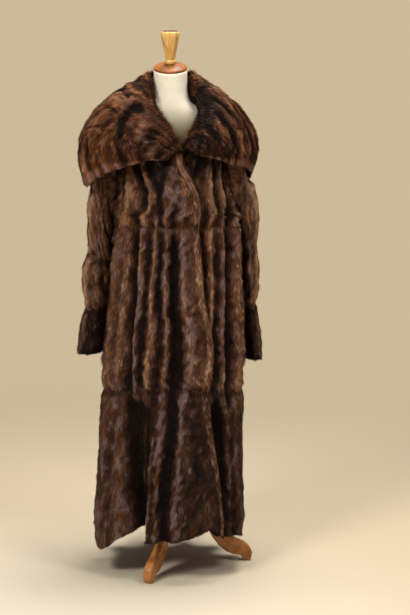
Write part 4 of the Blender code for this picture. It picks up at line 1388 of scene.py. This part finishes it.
def linen_material():
    """The form's tight cover: a fine plain weave with faint slubs, and painted shade that darkens it down
    the chest.
    """
    material, tree, shader = new_material(
        "linen", Roughness=0.85, Specular_IOR_Level=0.25, Sheen_Weight=0.1)
    place = add_node(tree, "TexCoord")
    slubs = add_node(tree, "TexNoise", Scale=60.0, Detail=4.0)
    ramp = add_ramp(tree, (0.88, 0.79, 0.61), (0.98, 0.91, 0.73))
    split = add_node(tree, "SeparateXYZ")
    # Painted shade: the cover is painted darker from the neck down the chest, as under the collar.
    grade = add_node(tree, "MapRange", {"interpolation_type": "SMOOTHSTEP"}, From_Min=1.53, From_Max=1.36)
    painted_shade = add_node(tree, "Mix", {"data_type": "RGBA"}, B=(0.085, 0.058, 0.022, 1.0))
    warp, weft = (add_node(tree, "TexWave", {"bands_direction": way}, Scale=260.0, Distortion=0.6)
                  for way in "XZ")
    weave = add_node(tree, "Math", {"operation": "MAXIMUM"})
    link(tree, (place, "Object", slubs, "Vector"), (slubs, "Fac", ramp, "Fac"), (ramp, "Color", painted_shade, "A"),
         (place, "Object", split, "Vector"), (split, "Z", grade, "Value"),
         (grade, "Result", painted_shade, "Factor"), (painted_shade, "Result", shader, "Base Color"),
         (place, "Object", warp, "Vector"), (place, "Object", weft, "Vector"),
         (warp, "Fac", weave, 0), (weft, "Fac", weave, 1))
    add_bumps(tree, shader, weave, "Value", 0.25, 0.0004)
    return material


# ---- dress form ----

def closed_lathe(name, rings):
    """A closed mesh through rings of points, with a fan of faces at each end."""
    model = bmesh.new()
    loops = [[model.verts.new(point) for point in ring] for ring in rings]
    sides = len(loops[0])
    for lower, upper in zip(loops, loops[1:]):
        for i in range(sides):
            after = (i + 1) % sides
            model.faces.new((lower[i], lower[after], upper[after], upper[i]))
    for loop in (loops[0], loops[-1]):
        middle = model.verts.new(sum((vertex.co for vertex in loop), Vector()) / sides)
        for i in range(sides):
            model.faces.new((loop[i], loop[(i + 1) % sides], middle))
    bmesh.ops.recalc_face_normals(model, faces=model.faces)
    return smooth_mesh(model, name, 42)


def smooth_mesh(model, name, sharpest):
    """The bmesh as a smooth mesh whose edges are sharp from so many degrees on."""
    mesh = bpy.data.meshes.new(name)
    model.to_mesh(mesh)
    model.free()
    mesh.shade_smooth()
    mesh.set_sharp_from_angle(angle=math.radians(sharpest))
    return mesh


def form_cover(material, centre):
    """The covered torso and neck, smooth between the solids' sections."""
    bearings = np.linspace(0, 360, COVER_STEPS, endpoint=False)
    angle = np.radians(bearings)
    rings = []
    for z in COVER_Z:
        side, front, back = (along(TORSO, "z", column, z) for column in ("side", "front", "back"))
        face = back + (front - back) * ease((np.cos(angle) + 0.25) / 0.5)
        reach = ((np.sin(angle) / side) ** 2 + (np.cos(angle) / face) ** 2) ** -0.5
        rings.append(around(bearings, reach, z))
    rim = around(bearings, NECK_RADIUS, NECK_RIM_Z)
    rim[:, 2] += math.tan(math.radians(NECK_TILT)) * rim[:, 1]
    shoulder = rings[-1]
    rings += [shoulder + (rim - shoulder) * share for share in (0.4, 0.8, 0.97)]
    rings.append(rim * np.array([0.985, 0.985, 1.0]))
    mesh = closed_lathe("form_cover", np.array(rings) + centre)
    piece = add_piece("form_cover", mesh, material, ["form_torso"])


def turned(name, profile, degrees, place, sides=56):
    """A turned piece through the profile's radii and heights, leaned about X and moved to its place."""
    turns = np.linspace(0, math.tau, sides, endpoint=False)
    circle = np.stack([np.cos(turns), np.sin(turns), turns * 0], axis=-1)
    rings = [circle * radius + np.array([0, 0, height]) for radius, height in zip(*profile.values())]
    cos, sin = math.cos(math.radians(degrees)), math.sin(math.radians(degrees))
    turn = np.array([[1, 0, 0], [0, cos, -sin], [0, sin, cos]])
    return closed_lathe(name, np.array(rings) @ turn.T + place)


def carved_leg(node, material):
    """A leg with softened edges, its sides joined into whole faces first."""
    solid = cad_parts[node]
    model = bmesh.new()
    model.from_mesh(solid.data)
    model.transform(solid.matrix_world)
    bmesh.ops.remove_doubles(model, verts=model.verts, dist=1e-5)
    bmesh.ops.dissolve_limit(model, angle_limit=math.radians(1), verts=model.verts, edges=model.edges)
    sharp = [edge for edge in model.edges if edge.calc_face_angle(0) > math.radians(50)]
    bmesh.ops.bevel(model, geom=sharp, offset=0.005, segments=4, profile=0.5, affect="EDGES")
    add_piece(node + "_carved", smooth_mesh(model, node + "_carved", 35), material, [node])


# Each wood's dark and light colour, the scale of its grain along X, Y and Z, its roughness and its coat.
WOODS = {
    "cap_wood": ((0.16, 0.048, 0.007), (0.40, 0.135, 0.022), (22, 22, 60), 0.45, 0.12),
    "finial_wood": ((0.66, 0.34, 0.075), (0.96, 0.60, 0.20), (60, 60, 9), 0.36, 0.15),
    "leg_wood": ((0.30, 0.105, 0.022), (0.52, 0.21, 0.055), (30, 30, 30), 0.42, 0.20),
    "end_grain": ((0.040, 0.017, 0.006), (0.080, 0.034, 0.012), (90, 90, 9), 0.8, 0.0),
}


def form_woodwork(centre):
    """Neck cap, finial, pole, hub and the three carved legs."""
    woods = {name: wood_material(name, *look) for name, look in WOODS.items()}
    seat = np.array([0, 0, NECK_RIM_Z + SEAM]) + centre
    cap = turned("neck_cap_turned", CAP_PROFILE, NECK_TILT, seat)
    add_piece("neck_cap_turned", cap, woods["cap_wood"], ["neck_cap"])
    foot = np.array([0, -0.004, FINIAL_FOOT_Z]) + centre
    knob = turned("finial_turned", FINIAL_PROFILE, FINIAL_TILT, foot)
    add_piece("finial_turned", knob, woods["finial_wood"], ["finial"])
    # The finial's flat top shows end grain.
    knob.materials.append(woods["end_grain"])
    for face in knob.polygons:
        face.material_index = int(face.normal.z > 0.9)
    for node in ("leg_front", "leg_side", "leg_back"):
        carved_leg(node, woods["leg_wood"])
    for node in ("form_pole", "leg_hub"):
        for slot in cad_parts[node].material_slots:
            slot.material = woods["leg_wood"]


# ---- stage, light and camera ----

def paper_floor():
    """Pale paper floor with a painted pool of light, brightest before the coat; it fades into the room's own
    tone further off.
    """
    reach, drop = 6.0, 0.0002
    corners = np.array([(x * reach, y * reach, -drop) for x, y in ((-1, -1), (1, -1), (1, 1), (-1, 1))])
    mesh = mesh_from("paper_floor", corners, np.array([[0, 1, 2, 3]]))
    material, tree, shader = new_material("paper", Roughness=0.95, Specular_IOR_Level=0.1)
    soft = {"interpolation_type": "SMOOTHSTEP"}
    place = add_node(tree, "TexCoord")
    mottle = add_node(tree, "TexNoise", Scale=0.8)
    # Painted pool of light: the paper is painted lighter near a point before the coat and darker away from
    # it, with a faint random mottle.
    ramp = add_ramp(tree, (0.550, 0.460, 0.322), (0.680, 0.600, 0.470))
    off = add_node(tree, "VectorMath", {"operation": "DISTANCE"})
    off.inputs[1].default_value = (-0.40, -0.95, 0.0)
    grade = add_node(tree, "MapRange", soft, From_Min=1.7, From_Max=0.4)
    fade = add_node(tree, "MapRange", soft, From_Min=4.2, From_Max=1.6)
    blend = add_node(tree, "Math", {"operation": "MULTIPLY_ADD"})
    blend.inputs[1].default_value = 0.06
    link(tree, (place, "Object", mottle, "Vector"), (place, "Object", off, 0),
         (off, "Value", grade, "Value"), (off, "Value", fade, "Value"),
         (mottle, "Fac", blend, 0), (grade, "Result", blend, 2), (blend, "Value", ramp, "Fac"),
         (ramp, "Color", shader, "Base Color"), (fade, "Result", shader, "Alpha"))
    mesh.materials.append(material)
    add_object("paper_floor", mesh)


def area_light(name, place, target, size, power, colour):
    """A soft square light that looks at a point."""
    light = bpy.data.lights.new(name, "AREA")
    light.shape = "SQUARE"
    light.size = size
    light.energy = power
    light.color = colour
    holder = add_object(name, light)
    holder.location = place
    holder.rotation_euler = (Vector(target) - Vector(place)).to_track_quat("-Z", "Y").to_euler()


def studio_light():
    """Three soft lights, and a room that gives pale light but shows the backdrop's tone to the camera."""
    area_light("key", (0.45, 0.4, 4.6), (-0.1, -0.1, 0), 1.9, 205, (1.0, 0.97, 0.93))
    area_light("left", (-2.1, -3.0, 4.0), (0, 0, 0.9), 1.2, 140, (1.0, 0.97, 0.92))
    area_light("right", (2.3, -2.0, 3.8), (0, 0, 0.9), 1.2, 58, (1.0, 0.97, 0.94))
    world = bpy.data.worlds.new("room")
    world.use_nodes = True
    tree = world.node_tree
    pale, output = tree.nodes["Background"], tree.nodes["World Output"]
    set_inputs(pale, {"Color": (1.0, 0.97, 0.93, 1.0), "Strength": 0.20})
    backdrop = add_node(tree, "Background", Color=(0.610, 0.491, 0.319, 1.0))
    seen, mix = add_node(tree, "LightPath"), add_node(tree, "MixShader")
    link(tree, (seen, "Is Camera Ray", mix, 0), (pale, "Background", mix, 1),
         (backdrop, "Background", mix, 2), (mix, "Shader", output, "Surface"))
    bpy.context.scene.world = world
    bpy.context.scene.view_settings.view_transform = "Standard"


def camera(centre):
    """The camera, well in front of the coat and a little to its left."""
    lens = bpy.data.cameras.new("camera")
    lens.lens = 86.7
    lens.sensor_width = 36.0
    lens.sensor_fit = "AUTO"
    holder = add_object("camera", lens)
    holder.location = Vector((0.106, -4.6, 1.5)) + Vector(centre)
    holder.rotation_euler = (math.radians(81.68), 0.0, 0.0)
    bpy.context.scene.camera = holder


# ---- assembly ----

def pole_centre():
    """Where the solids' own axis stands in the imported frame."""
    low, high = (np.array(corner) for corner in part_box("form_pole"))
    middle = (low + high) / 2
    return np.array([middle[0] - STAND_X, middle[1], 0.0])


def coat_surfaces():
    """Every surface of the coat with how its cloth is held."""
    surfaces = []
    for i, panel in enumerate(PANELS):
        held = "hung" if panel.tier == "bodice" else "gathered"
        surfaces.append((panel_surface(panel, 100 + 20 * i), held))
    for i, name in enumerate(SLEEVES):
        for j, band in enumerate(SLEEVE_BANDS):
            surfaces.append((sleeve_surface(name, band, 400 + 60 * i + 20 * j), "hung"))
    for i, name in enumerate(COLLARS):
        surfaces.append((collar_surface(name, 600 + 20 * i), "draped"))
    surfaces.append((band_surface(700), "hung"))
    return surfaces


def build_coat(centre):
    """A pelt with its fur for every surface; the size of the flat cut that they stand for is worked out but
    not used.
    """
    pelt = pelt_material()
    brown, dark, collar = (fur_material(name, level) for name, level in (
        ("fur_brown", 0.32), ("fur_dark", 0.26), ("fur_collar", 0.12)))
    furs = {"lower": dark, "cuff": dark, "collar": collar}
    for i, (surface, held) in enumerate(coat_surfaces()):
        seed = 1000 + 20 * i
        skin = pelt_piece(surface, pelt, centre, seed)
        fur = fur_piece(surface, furs.get(surface.kind, brown), centre, seed)
        width, length, area = flat_size(surface)


def main():
    centre = pole_centre()
    camera(centre)
    paper_floor()
    studio_light()
    form_cover(linen_material(), centre)
    form_woodwork(centre)
    build_coat(centre)


main()
